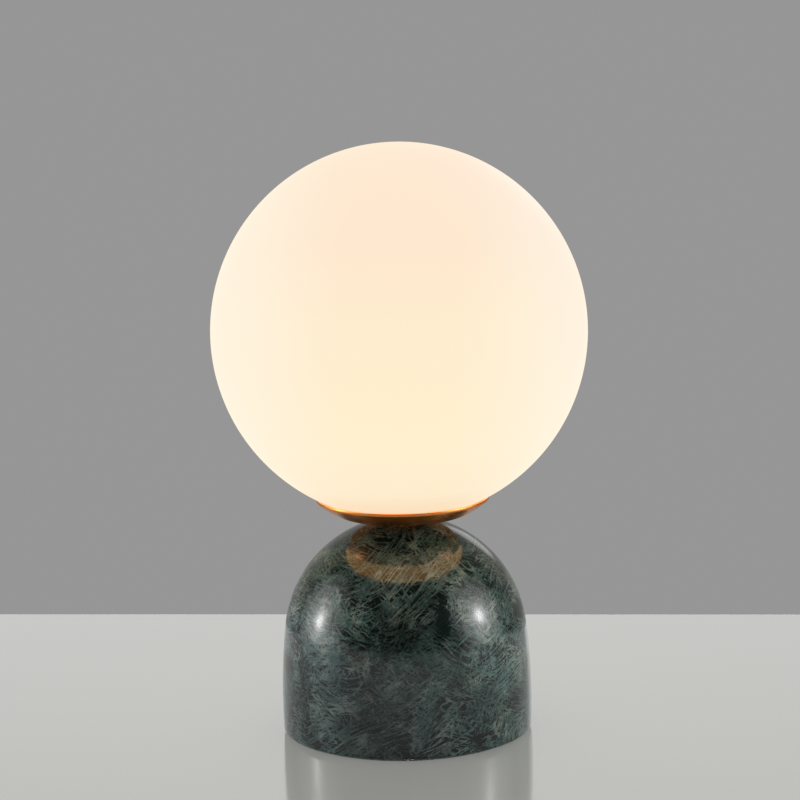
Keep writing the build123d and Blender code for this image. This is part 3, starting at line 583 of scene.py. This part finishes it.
# %% A graph of nodes
class Graph:
    """A node tree being made, with a place to start from."""

    def __init__(self, tree, start):
        self.tree = tree
        self.place = self.node("ShaderNodeTexCoord").out(start)

    def node(self, kind, settings=None, inputs=None, output=0):
        """A node with its settings made first, then the values or links of its sockets."""
        made = self.tree.nodes.new(kind)
        for name, value in (settings or {}).items():
            if name == "stops":
                self.set_stops(made.color_ramp, value)
            else:
                setattr(made, name, value)
        for name, value in (inputs or {}).items():
            self.feed(made.inputs[name], value)
        return Signal(self, made.outputs[output])

    def feed(self, socket, value):
        """Links a signal to a socket, or sets a plain value."""
        if isinstance(value, Signal):
            self.tree.links.new(value.socket, socket)
        else:
            socket.default_value = value

    def set_stops(self, ramp, stops):
        """Gives a ramp its colours. A new ramp has two stops."""
        while len(ramp.elements) < len(stops):
            ramp.elements.new(1.0)
        for element, (position, colour) in zip(ramp.elements, stops):
            element.position, element.color = position, (*colour, 1.0)

    def moved(self, at=(0, 0, 0), turn=(0, 0, 0), span=(1, 1, 1), place=None):
        """The place seen from a centre, turned, and measured in spans."""
        return self.node(
            "ShaderNodeMapping", {"vector_type": "TEXTURE"},
            {"Vector": place or self.place, "Location": at, "Rotation": turn, "Scale": span},
        )

    def noise(self, scale, detail=2.0, roughness=0.5, place=None, output=0):
        """Cloudy noise from 0 to 1. Its output 1 is the same in colour."""
        return self.node(
            "ShaderNodeTexNoise", {},
            {"Vector": place or self.place, "Scale": scale, "Detail": detail, "Roughness": roughness},
            output,
        )

    def rise(self, value, low, high):
        """0 below low, 1 above high, and smooth between."""
        return self.node(
            "ShaderNodeMapRange", {"interpolation_type": "SMOOTHSTEP"},
            {"Value": value, "From Min": low, "From Max": high},
        )

    def ramp(self, value, stops):
        """A colour for each value, smooth between the stops."""
        return self.node("ShaderNodeValToRGB", {"stops": stops}, {"Fac": value})

    def blend(self, factor, first, second, kind="MIX"):
        """Two colours mixed by a factor."""
        return self.node(
            "ShaderNodeMix", {"data_type": "RGBA", "blend_type": kind},
            {0: factor, 6: first, 7: second}, 2,
        )

    def parts(self, vector):
        """The three numbers of a vector."""
        split = self.node("ShaderNodeSeparateXYZ", {}, {0: vector})
        return split, split.out("Y"), split.out("Z")


# %% [markdown]
# ## A finish
#
# A finish is a graph that feeds one Principled shader, on Object coordinates. A finished piece
# stays at the origin, so these are places on the lamp itself, and no pattern slides as it moves.


# %% Finishes and colours
class Finish(Graph):
    """A material being made: a graph on the lamp's own place that feeds one shader."""

    def __init__(self, name, **shader):
        self.material = bpy.data.materials.new(name)
        self.material.use_nodes = True
        self.shader = self.material.node_tree.nodes["Principled BSDF"]
        super().__init__(self.material.node_tree, "Object")
        for socket, value in shader.items():
            self.set(socket.replace("_", " "), value)

    def set(self, name, value):
        """Gives one of the shader's sockets a value or a link."""
        self.feed(self.shader.inputs[name], value)

    def bump(self, height, depth):
        """Relief of this depth in metres, into the shader's normal."""
        self.set("Normal", self.node("ShaderNodeBump", {}, {"Height": height, "Distance": depth}))


def colour(red, green, blue):
    """A colour as a screen shows it, 0 to 255, in the linear numbers that shaders use."""
    def linear(value):
        value = value / 255
        return value / 12.92 if value <= 0.04045 else ((value + 0.055) / 1.055) ** 2.4

    return (linear(red), linear(green), linear(blue), 1.0)


def dress(finish, *objects):
    """Puts a finish on pieces, or on CAD nodes given by name."""
    for item in objects:
        item = nodes[item] if isinstance(item, str) else item
        if item.material_slots:
            for slot in item.material_slots:
                slot.material = finish.material
        else:
            item.data.materials.append(finish.material)
    print(f"{finish.material.name} on {len(objects)}")


# %% [markdown]
# ## Polished green marble
#
# The stone is dark green, almost black, and full of fine pale threads that cross at every angle,
# as if it were scratched. They are cuts through thin sheets of another mineral, so they are made
# the same way: noise that is squeezed along one direction varies in sheets, and where its value
# passes the middle, a thin sheet shows as a line on the surface. Several sets, each in its own
# direction and patches, give the tangle. A painted image would show seams; sheets in space run
# through the block, so the back and the top fit the front.


# %% Threads and dark patches
thread_sets = [
    # lean of the sheets in degrees, then in millimetres their spacing and length, then the line's
    # width as a share of the noise, the patch in millimetres, and the strength
    ((0, 50, 0), 2.1, 28, 0.060, 26, 1.0),
    ((0, 64, 12), 1.9, 24, 0.060, 22, 0.9),
    ((0, -48, -10), 1.9, 22, 0.058, 20, 0.8),
    ((0, -66, 25), 1.8, 16, 0.060, 18, 0.7),
    ((20, 25, 60), 1.8, 14, 0.060, 16, 0.8),
    ((-30, 85, -35), 1.7, 10, 0.065, 15, 0.9),
    ((70, 10, 100), 1.6, 7, 0.070, 12, 0.7),
    ((-60, -35, 140), 1.5, 5, 0.075, 12, 0.8),
]


def threads(stone, place, lean, spacing, length, width, patch, seed):
    """One set of pale threads: sheets across a direction, kept to patches of the stone."""
    at = (seed * 0.137, seed * 0.071, seed * 0.113)
    sheets = stone.moved(at, [radians(turn) for turn in lean], (spacing, length, length), place)
    field = stone.noise(1.0, 1.0, 0.35, sheets)
    line = 1 - stone.rise(abs(field - 0.5), 0.35 * width, width)
    where = stone.noise(1 / patch, 1.0, 0.5, stone.moved(at, place=place))
    return line * stone.rise(where, 0.47, 0.60)


def all_threads(stone, place):
    """Every set of threads together: where two cross, the stronger one shows."""
    tangle = 0.0
    for number, (lean, spacing, length, width, patch, strength) in enumerate(thread_sets, 1):
        one = threads(stone, place, lean, spacing * MM, length * MM, width, patch * MM, number)
        tangle = (one * strength).brighter(tangle)
    return tangle


def dark_patch(stone, place, at, span):
    """A soft-edged spot of dark stone without threads, at a place on the lamp."""
    near = stone.moved(at, span=span, place=place)
    away = stone.node("ShaderNodeVectorMath", {"operation": "LENGTH"}, {0: near}).out("Value")
    return 1 - stone.rise(away + 2.2 * (stone.noise(170.0, 3.0, 0.6) - 0.5), 0.75, 1.2)


# %% [markdown]
# The place is first pushed about by slow noise, so that no sheet stays quite flat. Then the threads
# are laid over the dark ground, broken up by a fine grain. Last come the slow changes: a painted warm
# shade towards the top, under the dish, which also dims the threads there; bluer low on the left; a
# painted shade near the foot; and darker in the middle.

# %% Polish the marble
spots = [
    # place, and how far it reaches each way
    ((0.0195, -0.0565, 0.077), (0.0035, 0.010, 0.011)),
    ((-0.0655, -0.016, 0.0395), (0.006, 0.016, 0.005)),
    ((0.061, -0.013, 0.071), (0.006, 0.012, 0.004)),
]


def drifted(stone):
    """The place, pushed about by up to a few millimetres."""
    wander = stone.node(
        "ShaderNodeVectorMath", {"operation": "SUBTRACT"},
        {0: stone.noise(15.0, 1.0, output=1), 1: (0.5, 0.5, 0.5)},
    )
    return stone.node(
        "ShaderNodeVectorMath", {"operation": "MULTIPLY_ADD"},
        {0: wander, 1: (0.016, 0.016, 0.016), 2: stone.place},
    )


def threaded_stone(stone, place, painted_dish_shade):
    """The dark ground with the pale threads and specks on it."""
    grain = stone.noise(800.0, 2.0, 0.7)
    mottle = stone.noise(34.0, 3.0, 0.6, place)
    tangle = all_threads(stone, place) * (0.5 + 0.5 * stone.rise(grain, 0.36, 0.52))
    # the painted warm shade under the dish dims the threads too
    tangle = tangle * (0.6 + 0.55 * stone.rise(mottle, 0.36, 0.62)) * (1 - 0.35 * painted_dish_shade)
    dark = [
        (0.38, (0.0015, 0.004, 0.004)), (0.5, (0.004, 0.009, 0.0085)), (0.64, (0.014, 0.025, 0.024)),
    ]
    light = [(0.3, (0.08, 0.16, 0.145)), (0.5, (0.15, 0.24, 0.22)), (0.7, (0.38, 0.45, 0.38))]
    ground = stone.ramp(mottle, dark)
    pale = stone.ramp(stone.noise(90.0, 3.0, 0.6), light)
    speck = stone.rise(grain, 0.60, 0.70) * 0.5
    return stone.blend(speck, stone.blend(tangle, ground, pale), (0.22, 0.32, 0.27, 1))


def polished_marble():
    stone = Finish("green_marble_polished", Roughness=0.115)
    place = drifted(stone)
    across, _, height = stone.parts(stone.place)
    cloud = stone.noise(14.0)
    # painted warm shade: the stone is darker and warmer towards the top, where the dish shades it
    painted_dish_shade = stone.rise(height + 0.10 * (cloud - 0.5), 0.070, 0.105)
    blue = stone.rise(0.06 - across - height + 0.12 * (cloud - 0.5), 0.0, 0.05)
    # painted shade: the stone is darker near the foot
    low = 1 - stone.rise(height + 0.05 * (cloud - 0.5), 0.030, 0.060)
    middle = dark_patch(stone, place, (0.004, -0.062, 0.064), (0.022, 0.03, 0.022))
    tints = [
        # painted warm shade under the dish
        (painted_dish_shade, (0.92, 0.82, 0.62, 1)),
        (blue * 0.6, (0.92, 0.90, 1.02, 1)),
        # painted shade near the foot
        (low, (0.62, 0.66, 0.66, 1)),
        (middle * 0.6, (0.26, 0.32, 0.30, 1)),
    ]
    shade = threaded_stone(stone, place, painted_dish_shade)
    for where, tint in tints:
        shade = stone.blend(where, shade, tint, "MULTIPLY")
    for at, span in spots:
        shade = stone.blend(dark_patch(stone, place, at, span) * 0.85, shade, (0.004, 0.011, 0.010, 1))
    stone.set("Base Color", shade)
    return stone


dress(polished_marble(), marble_base)

# %% [markdown]
# ## Lit opal glass
#
# Opal glass spreads the light of the bulb so well that the whole globe glows. Tracing light
# through a scattering wall takes long and stays noisy, so the glass gives off its own light. Just
# above the dish its glow is painted darker and more orange, a painted shade of the collar and the
# dish's rim, and its left and right sides are painted lighter, a painted sheen. A little gloss stays
# on top, as glass has.


# %% Opal glass
glow_and_painted_shade_stops = [
    # height, 0 at the globe's foot and 1 at its top, and the glow there as a screen shows it
    # the lowest stops, darker and more orange, are a painted shade of the collar and the dish's rim
    (0.035, (226, 186, 142)), (0.06, (249, 222, 188)), (0.12, (253, 235, 204)),
    (0.25, (255, 239, 207)), (0.40, (254, 238, 206)), (0.58, (254, 236, 205)),
    (0.78, (254, 231, 206)), (1.0, (254, 233, 210)),
]


def lit_opal():
    glass = Finish(
        "opal_glass_lit", Base_Color=(0.02, 0.018, 0.015, 1), Roughness=0.4, Specular_IOR_Level=0.04,
        Emission_Strength=1.0,
    )
    around = glass.moved((0, 0, globe_centre), span=(globe_radius,) * 3)
    x, _, z = glass.parts(around)
    glow = glass.ramp(z * 0.5 + 0.5, [(at, colour(*shade)[:3]) for at, shade in glow_and_painted_shade_stops])
    # painted sheen: the glow is painted lighter towards the left and right sides of the globe
    side = glass.rise(abs(x - 0.05 * z), 0.2, 0.95)
    upper_right = glass.rise(x * 0.8 + z * 0.6, 0.5, 1.2)
    cloud = glass.rise(glass.noise(14.0), 0.3, 0.7)
    # the painted sheen at the sides
    glow = glass.blend(side * 0.85, glow, colour(255, 243, 224))
    glow = glass.blend(upper_right * 0.5, glow, colour(250, 234, 222))
    glow = glass.blend(cloud * 0.12, glow, colour(255, 241, 216))
    glass.set("Emission Color", glow)
    return glass


dress(lit_opal(), opal_globe)
opal_globe.visible_glossy = False    # the globe's own light takes its place in reflections

# %% [markdown]
# ## Turned, spun and plated metals
#
# Spinning and turning leave very fine rings, and handling leaves faint clouds in the polish. The
# rings are bands of noise that change only with the distance from the axis and the height. One
# recipe serves every metal here: they differ in tint, roughness and how deep the rings are.


# %% Metals
def turned_metal(name, tint, roughness, dulled=0.8, rings=6000.0, depth=0.001):
    """A metal with lathe rings and faint clouds where its shine is dulled."""
    metal = Finish(name, Metallic=1.0)
    x, y, z = metal.parts(metal.place)
    reach = (x * x + y * y) ** 0.5
    fine = metal.noise(rings, 2.0, 0.6, metal.node("ShaderNodeCombineXYZ", {}, {0: reach, 2: z}))
    cloud = metal.noise(60.0, 3.0, 0.6)
    stain = metal.noise(420.0, 3.0, 0.7)
    dull = tuple(part * dulled for part in tint)
    shade = metal.blend(metal.rise(cloud, 0.35, 0.7) * 0.5, (*tint, 1), (*dull, 1))
    metal.set("Base Color", metal.blend(metal.rise(stain, 0.52, 0.75) * 0.25, shade, (*dull, 1)))
    metal.set("Roughness", roughness + 0.06 * cloud + 0.03 * fine + 0.04 * stain)
    metal.bump(fine, depth * MM)
    return metal


polished_brass = turned_metal("brass_polished", (0.95, 0.35, 0.09), 0.22, depth=0.0004)
dress(polished_brass, brass_dish, neck_spacer)
plain_brass = turned_metal("brass_plain", (0.78, 0.50, 0.19), 0.30)
dress(plain_brass, "marble_inserts", "terminal_sleeves", "holder_centre_contact")
zinc = turned_metal("steel_zinc_plated", (0.58, 0.60, 0.62), 0.30, rings=3000.0, depth=0.003)
dress(
    zinc, "cover_plate", "cover_screws", "threaded_rod", "base_plate_washer", "base_lock_washer",
    "base_nut", "dish_washer", "dish_nut", "holder_lock_screw", "holder_terminal_screws",
    "terminal_clamp_screws",
)
nickel = turned_metal("nickel_plated_shell", (0.64, 0.60, 0.54), 0.22)
dress(nickel, "holder_screw_shell", screw_cap)
aluminium = turned_metal("aluminium_turned", (0.80, 0.81, 0.82), 0.30, 0.9, 4000.0, 0.003)
dress(aluminium, globe_ring, collar)
tinned = turned_metal("copper_tinned", (0.70, 0.66, 0.60), 0.36, 0.75)
dress(tinned, "earth_lug", "bulb_contact")

# %% [markdown]
# ## Moulded plastics, rubber and wires
#
# A moulded face is never quite even: the tool leaves a fine grain, and thicker places cool more
# slowly and come out a little duller. Two noises give both, one in the relief and one in the
# shine. Plastic could be a single colour with some gloss, but then a large face looks painted.


# %% Moulded finishes
def moulded(name, tint, roughness, grain=2500.0, depth=0.004, shade=0.85, **shader):
    """Plastic or rubber with a fine grain and an uneven shine."""
    plastic = Finish(name, **shader)
    cloud = plastic.noise(45.0, 3.0)
    grains = plastic.noise(grain, 2.0, 0.6)
    darker = (*(part * shade for part in tint), 1)
    plastic.set("Base Color", plastic.blend(plastic.rise(cloud, 0.35, 0.65), (*tint, 1), darker))
    plastic.set("Roughness", roughness + 0.08 * grains + 0.06 * cloud)
    plastic.bump(grains, depth * MM)
    return plastic


dress(moulded("plastic_black", (0.018, 0.018, 0.019), 0.38), holder_cap, holder_skirt)
dress(moulded("plastic_white", (0.72, 0.71, 0.68), 0.34, shade=0.93), bulb_body, "terminal_block")
dress(moulded("rubber_black", (0.016, 0.016, 0.016), 0.62, 1200.0, 0.012), grommet)
dress(moulded("silicone_clear", (0.55, 0.54, 0.50), 0.42, 900.0, 0.006), "globe_gasket")
dress(moulded("glass_black", (0.008, 0.008, 0.010), 0.06, 700.0, 0.003), "bulb_insulator")
dress(moulded("wire_brown", (0.085, 0.032, 0.012), 0.36, 1800.0), "live_wire")
dress(moulded("wire_blue", (0.018, 0.080, 0.300), 0.36, 1800.0), "neutral_wire")
dress(
    moulded("porcelain_glazed", (0.80, 0.79, 0.75), 0.30, 300.0, 0.020, 0.95, Coat_Weight=0.8),
    "holder_insert",
)

# %% [markdown]
# ## Felt, fibre and the striped earth wire
#
# Three pieces need a pattern of their own. The pad is felt: short fibres that lie every way. The
# insulating washers are pressed fibre, which shows its layers at the edge. The earth wire is
# green with a yellow stripe, moulded in one, so the stripe is a band of place, not a painted line.


# %% Felt, fibre and earth wire
def pressed_felt():
    felt = Finish("felt_black", Roughness=0.95, Sheen_Weight=0.4, Sheen_Roughness=0.5)
    lying = [
        felt.noise(1.0, 2.0, 0.6, felt.moved(turn=(0, 0, radians(turn)), span=(4 * MM, 0.35 * MM, MM)))
        for turn in (10, 70, 130)
    ]
    fibre = lying[0].brighter(lying[1]).brighter(lying[2])
    black, grey = (0.010, 0.010, 0.011, 1), (0.045, 0.045, 0.047, 1)
    felt.set("Base Color", felt.blend(felt.rise(fibre, 0.5, 0.75), black, grey))
    felt.bump(fibre, 0.15 * MM)
    return felt


def pressed_fibre():
    fibre = Finish("fibre_red_brown")
    layers = fibre.noise(1.0, 3.0, 0.6, fibre.moved(span=(6 * MM, 6 * MM, 0.15 * MM)))
    deep, worn = (0.10, 0.024, 0.014, 1), (0.17, 0.050, 0.030, 1)
    fibre.set("Base Color", fibre.blend(fibre.rise(layers, 0.35, 0.65), deep, worn))
    fibre.set("Roughness", 0.5 + 0.2 * layers)
    fibre.bump(layers, 0.01 * MM)
    return fibre


def striped_wire():
    wire = Finish("wire_green_yellow")
    across, _, _ = wire.parts(wire.moved(turn=(0, radians(35), radians(20)), span=(3 * MM,) * 3))
    band = (across * 2 * pi).sine()
    green, yellow = (0.02, 0.19, 0.035, 1), (0.72, 0.56, 0.02, 1)
    wire.set("Base Color", wire.blend(wire.rise(band, 0.1, 0.25), green, yellow))
    wire.set("Roughness", 0.36 + 0.08 * wire.noise(1800.0))
    return wire


dress(pressed_felt(), "base_pad")
dress(pressed_fibre(), "base_fibre_washer", "neck_washer")
dress(striped_wire(), "earth_wire")

# %% [markdown]
# ## The bulb's light and its boards
#
# The bulb's shell is milky plastic, bright all over when it is lit and a little dimmer near its
# foot. Below it sit the parts that make the light: a white board with a ring of yellow chips and
# a green board that stands in the housing. They show when the shell is taken off.


# %% The lit bulb and its boards
def lit_bulb():
    shell = Finish(
        "bulb_shell_lit", Base_Color=(0.75, 0.72, 0.66, 1), Roughness=0.42, Emission_Strength=1.6
    )
    _, _, z = shell.parts(shell.place)
    low, high = shell_low[2], shell_high[2]
    height = shell.rise(z + 0.004 * shell.noise(60.0), low, (low + high) / 2)
    shell.set("Emission Color", shell.blend(height, (0.55, 0.36, 0.19, 1), (1.0, 0.84, 0.58, 1)))
    return shell


def light_board():
    board = Finish("board_white", Roughness=0.4)
    x, y, _ = board.parts(board.place)
    ring = abs((x * x + y * y) ** 0.5 - 12 * MM)
    track = 1 - board.rise(ring, 2.2 * MM, 2.5 * MM)
    dust = board.rise(board.noise(300.0, 3.0), 0.5, 0.8) * 0.2
    mask = board.blend(track * 0.35, (0.78, 0.78, 0.75, 1), (0.60, 0.57, 0.48, 1))
    board.set("Base Color", board.blend(dust, mask, (0.5, 0.5, 0.48, 1)))
    board.bump(track, 0.03 * MM)
    return board


def yellow_chips():
    chip = Finish("chip_yellow", Roughness=0.3, Emission_Strength=2.0)
    grains = chip.noise(6000.0)
    chip.set("Base Color", chip.blend(grains, (0.80, 0.52, 0.05, 1), (0.95, 0.72, 0.16, 1)))
    chip.set("Emission Color", chip.blend(grains, (1.0, 0.78, 0.40, 1), (1.0, 0.90, 0.62, 1)))
    return chip


def green_board():
    board = Finish("board_green", Roughness=0.35)
    x, _, z = board.parts(board.place)
    line_step, break_step = 1.9 * MM, 7 * MM
    lines = abs(((x + 0.3 * board.noise(90.0) * MM) * (2 * pi / line_step)).sine())
    breaks = board.rise((z * (2 * pi / break_step)).sine(), -0.2, 0.0)
    track = board.rise(lines, 0.80, 0.9) * breaks
    board.set("Base Color", board.blend(track, (0.012, 0.10, 0.035, 1), (0.05, 0.24, 0.09, 1)))
    board.bump(track, 0.03 * MM)
    return board


dress(lit_bulb(), bulb_shell)
dress(light_board(), "bulb_led_board")
dress(yellow_chips(), "bulb_led_chips")
dress(green_board(), "bulb_driver_board")

# %% [markdown]
# ## The table
#
# The lamp stands on a pale, slightly glossy table, which ends a short way behind it. One flat face
# is enough. It is turned a little, so that its edge looks level though the camera leans.

# %% The table
table_back, table_turn, table_half = 247.3 * MM, radians(-5.3), 2.0


def table_top():
    """One face with its rear edge at table_back, turned about that edge."""
    mesh = bmesh.new()
    bmesh.ops.create_grid(mesh, x_segments=1, y_segments=1, size=table_half)
    bmesh.ops.translate(mesh, verts=mesh.verts, vec=(0, table_back - table_half, 0))
    turn = Matrix.Rotation(table_turn, 3, "Z")
    bmesh.ops.rotate(mesh, verts=mesh.verts, cent=(0, table_back, 0), matrix=turn)
    data = bpy.data.meshes.new("table_top")
    mesh.to_mesh(data)
    mesh.free()
    table = bpy.data.objects.new("table_top", data)
    bpy.context.scene.collection.objects.link(table)
    return table


def lacquer():
    paint = Finish("table_lacquer", Roughness=0.10)
    cloud = paint.noise(1.5)
    paint.set("Base Color", paint.blend(cloud, (0.275, 0.279, 0.262, 1), (0.288, 0.292, 0.275, 1)))
    return paint


table = table_top()
dress(lacquer(), table)

# %% [markdown]
# ## The wall
#
# The wall is plain grey, and it is the world's colour, so it needs no object. What the lamp mirrors
# is a dark room instead, grey only behind the lamp, with one bright spot behind it on the right.
# That spot draws the thin pale line on the marble's shoulder. Only the camera sees grey all round.

# %% The world
wall_grey, room_dark, spot_glow = 0.305, 0.06, 0.90
spot_way = (0.32, 0.92, 0.226)
world = bpy.data.worlds.new("studio")
bpy.context.scene.world = world
world.use_nodes = True
studio = Graph(world.node_tree, "Generated")
_, back, _ = studio.parts(studio.place)
facing = studio.node(
    "ShaderNodeVectorMath", {"operation": "DOT_PRODUCT"}, {0: studio.place, 1: spot_way}
)
room = room_dark + (wall_grey - room_dark) * studio.rise(back, 0.2, 0.8)
room = room + spot_glow * studio.rise(facing.out("Value"), 0.985, 0.995)
seen = studio.node("ShaderNodeLightPath").out("Is Camera Ray")
shown = studio.node("ShaderNodeMix", {"data_type": "FLOAT"}, {0: seen, 2: room, 3: wall_grey})
studio.feed(world.node_tree.nodes["Background"].inputs["Color"], shown)
print(f"wall {wall_grey}, room {room_dark}")

# %% [markdown]
# ## Softboxes
#
# Two softboxes stand left and right and show as two soft white spots on the marble. A real softbox
# is brightest in its middle. One area light is even, so each softbox is a stack of ellipses that
# grow and fade outwards. They light the lamp alone, through a collection that they are linked to.
# The neck is left out: the dish and the dome keep it in shadow.


# %% Softboxes
def add_light(name, kind, energy, only):
    """A light that shines on the pieces of one collection and that the camera doesn't see."""
    data = bpy.data.lights.new(name, kind)
    data.energy = energy
    light = bpy.data.objects.new(name, data)
    light.visible_camera = False
    bpy.context.scene.collection.objects.link(light)
    light.light_linking.receiver_collection = only
    return light, data


def group(name, *objects):
    """A collection that a light is linked to. It isn't part of the scene."""
    made = bpy.data.collections.new(name)
    for item in objects:
        made.objects.link(item)
    return made


lamp_body = group(
    "lamp_body", marble_base, brass_dish, neck_spacer, holder_cap, holder_skirt, bulb_body, screw_cap,
    globe_ring, collar, grommet, *(item for name, item in nodes.items() if name != "glass_globe"),
)
in_shadow = (neck_spacer, nodes["neck_washer"])
well_lit = group("well_lit", *(item for item in lamp_body.objects if item not in in_shadow))
aim, stand_off, layer_gap = Vector((0, 0, 0.06)), 0.9, 0.002
# width and radiance of each ellipse
falloff = [(0.10, 6.0), (0.17, 4.0), (0.27, 2.4), (0.42, 1.4), (0.70, 0.9), (1.0, 0.6)]


def softbox(name, direction, tall, strength):
    """A softbox facing the lamp: ellipses of light inside each other, tall times as high as wide."""
    way = Vector(direction).normalized()
    for layer, (width, radiance) in enumerate(falloff):
        energy = strength * radiance * pi * width * width * tall * pi / 4
        light, data = add_light(f"{name}_{layer}", "AREA", energy, well_lit)
        data.shape, data.size, data.size_y = "ELLIPSE", width, width * tall
        light.location = aim + way * (stand_off + layer_gap * layer)
        light.rotation_euler = way.to_track_quat("Z", "Y").to_euler()
    print(f"{name}: {len(falloff)} layers")


softbox("softbox_left", (-0.983, 0.007, 0.183), tall=1.25, strength=1.0)
softbox("softbox_right", (0.934, -0.209, 0.291), tall=1.1, strength=1.2)

# %% [markdown]
# ## The light of the globe
#
# The globe glows by its finish, and the marble shows it as a warm crescent under the dish. Glass
# that only glows makes a noisy light, so a round light of nearly the globe's size, just inside it,
# shines on the lamp in its place. It rides with the globe.

# %% The globe's own light
glow_reach, glow_radiance = globe_radius - 2.0 * MM, 2.1
glow, glow_data = add_light("globe_glow", "POINT", glow_radiance * 4 * pi**2 * glow_reach**2, well_lit)
glow_data.shadow_soft_size = glow_reach
glow_data.use_soft_falloff = False
glow_data.color = (1.0, 0.50, 0.15)
glow.location = (0, 0, globe_centre)
glow.light_linking.blocker_collection = lamp_body
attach(glow, "globe")
print(f"globe light {glow_data.energy:.2f} W")

# %% [markdown]
# ## Light on the table
#
# The table is evenly lit and has no cast shadow, as in the photograph, so a sun without shadows
# lights it alone. Its pale sheen comes from four wide screens that stand round it and that only
# the table mirrors, so the marble's edges stay dark.

# %% The table's lights
table_only = group("table_only", table)
_, sun_data = add_light("table_light", "SUN", 2.6, table_only)
sun_data.use_shadow = False
screen_radiance, screen_away, screen_low, screen_high = 0.93, 2.6, 0.1, 1.7


def screen(degrees):
    """A wide pale screen that faces the lamp from this side."""
    width, height = 2 * screen_away, screen_high - screen_low
    energy = screen_radiance * pi * width * height
    light, data = add_light(f"screen_{degrees}", "AREA", energy, table_only)
    data.shape, data.size, data.size_y = "RECTANGLE", width, height
    turn = radians(degrees)
    light.location = (-screen_away * sin(turn), screen_away * cos(turn), (screen_low + screen_high) / 2)
    light.rotation_euler = (-pi / 2, 0, turn)


for side in range(0, 360, 90):
    screen(side)
print("the table has a sun and 4 screens")

# %% [markdown]
# ## The camera
#
# Its place was fitted to the photograph: the outlines of the globe, the dish's rim and the base.
# It looks down by ten degrees and leans by one, so its axes are worked out from the three angles.

# %% Camera
camera_place = Vector((0, -1.6, 0.46955))
pixels, focal = 800, 3053.3
pitch, yaw, roll = radians(10.244), radians(-0.011), radians(-1.3)
forward = Vector((sin(yaw) * cos(pitch), cos(yaw) * cos(pitch), -sin(pitch)))
level = Vector((cos(yaw), -sin(yaw), 0))
upright = level.cross(forward)
right = cos(roll) * level + sin(roll) * upright
up = cos(roll) * upright - sin(roll) * level
axes = Matrix((right, up, -forward)).transposed().to_4x4()
camera_data = bpy.data.cameras.new("camera")
camera_data.sensor_width = 36.0
camera_data.lens = camera_data.sensor_width * focal / pixels
camera = bpy.data.objects.new("camera", camera_data)
camera.matrix_world = Matrix.Translation(camera_place) @ axes
bpy.context.scene.collection.objects.link(camera)
bpy.context.scene.camera = camera
bpy.context.scene.view_settings.view_transform = "Standard"
bpy.context.scene.view_settings.look = "None"
print(f"lens {camera_data.lens:.1f} mm")
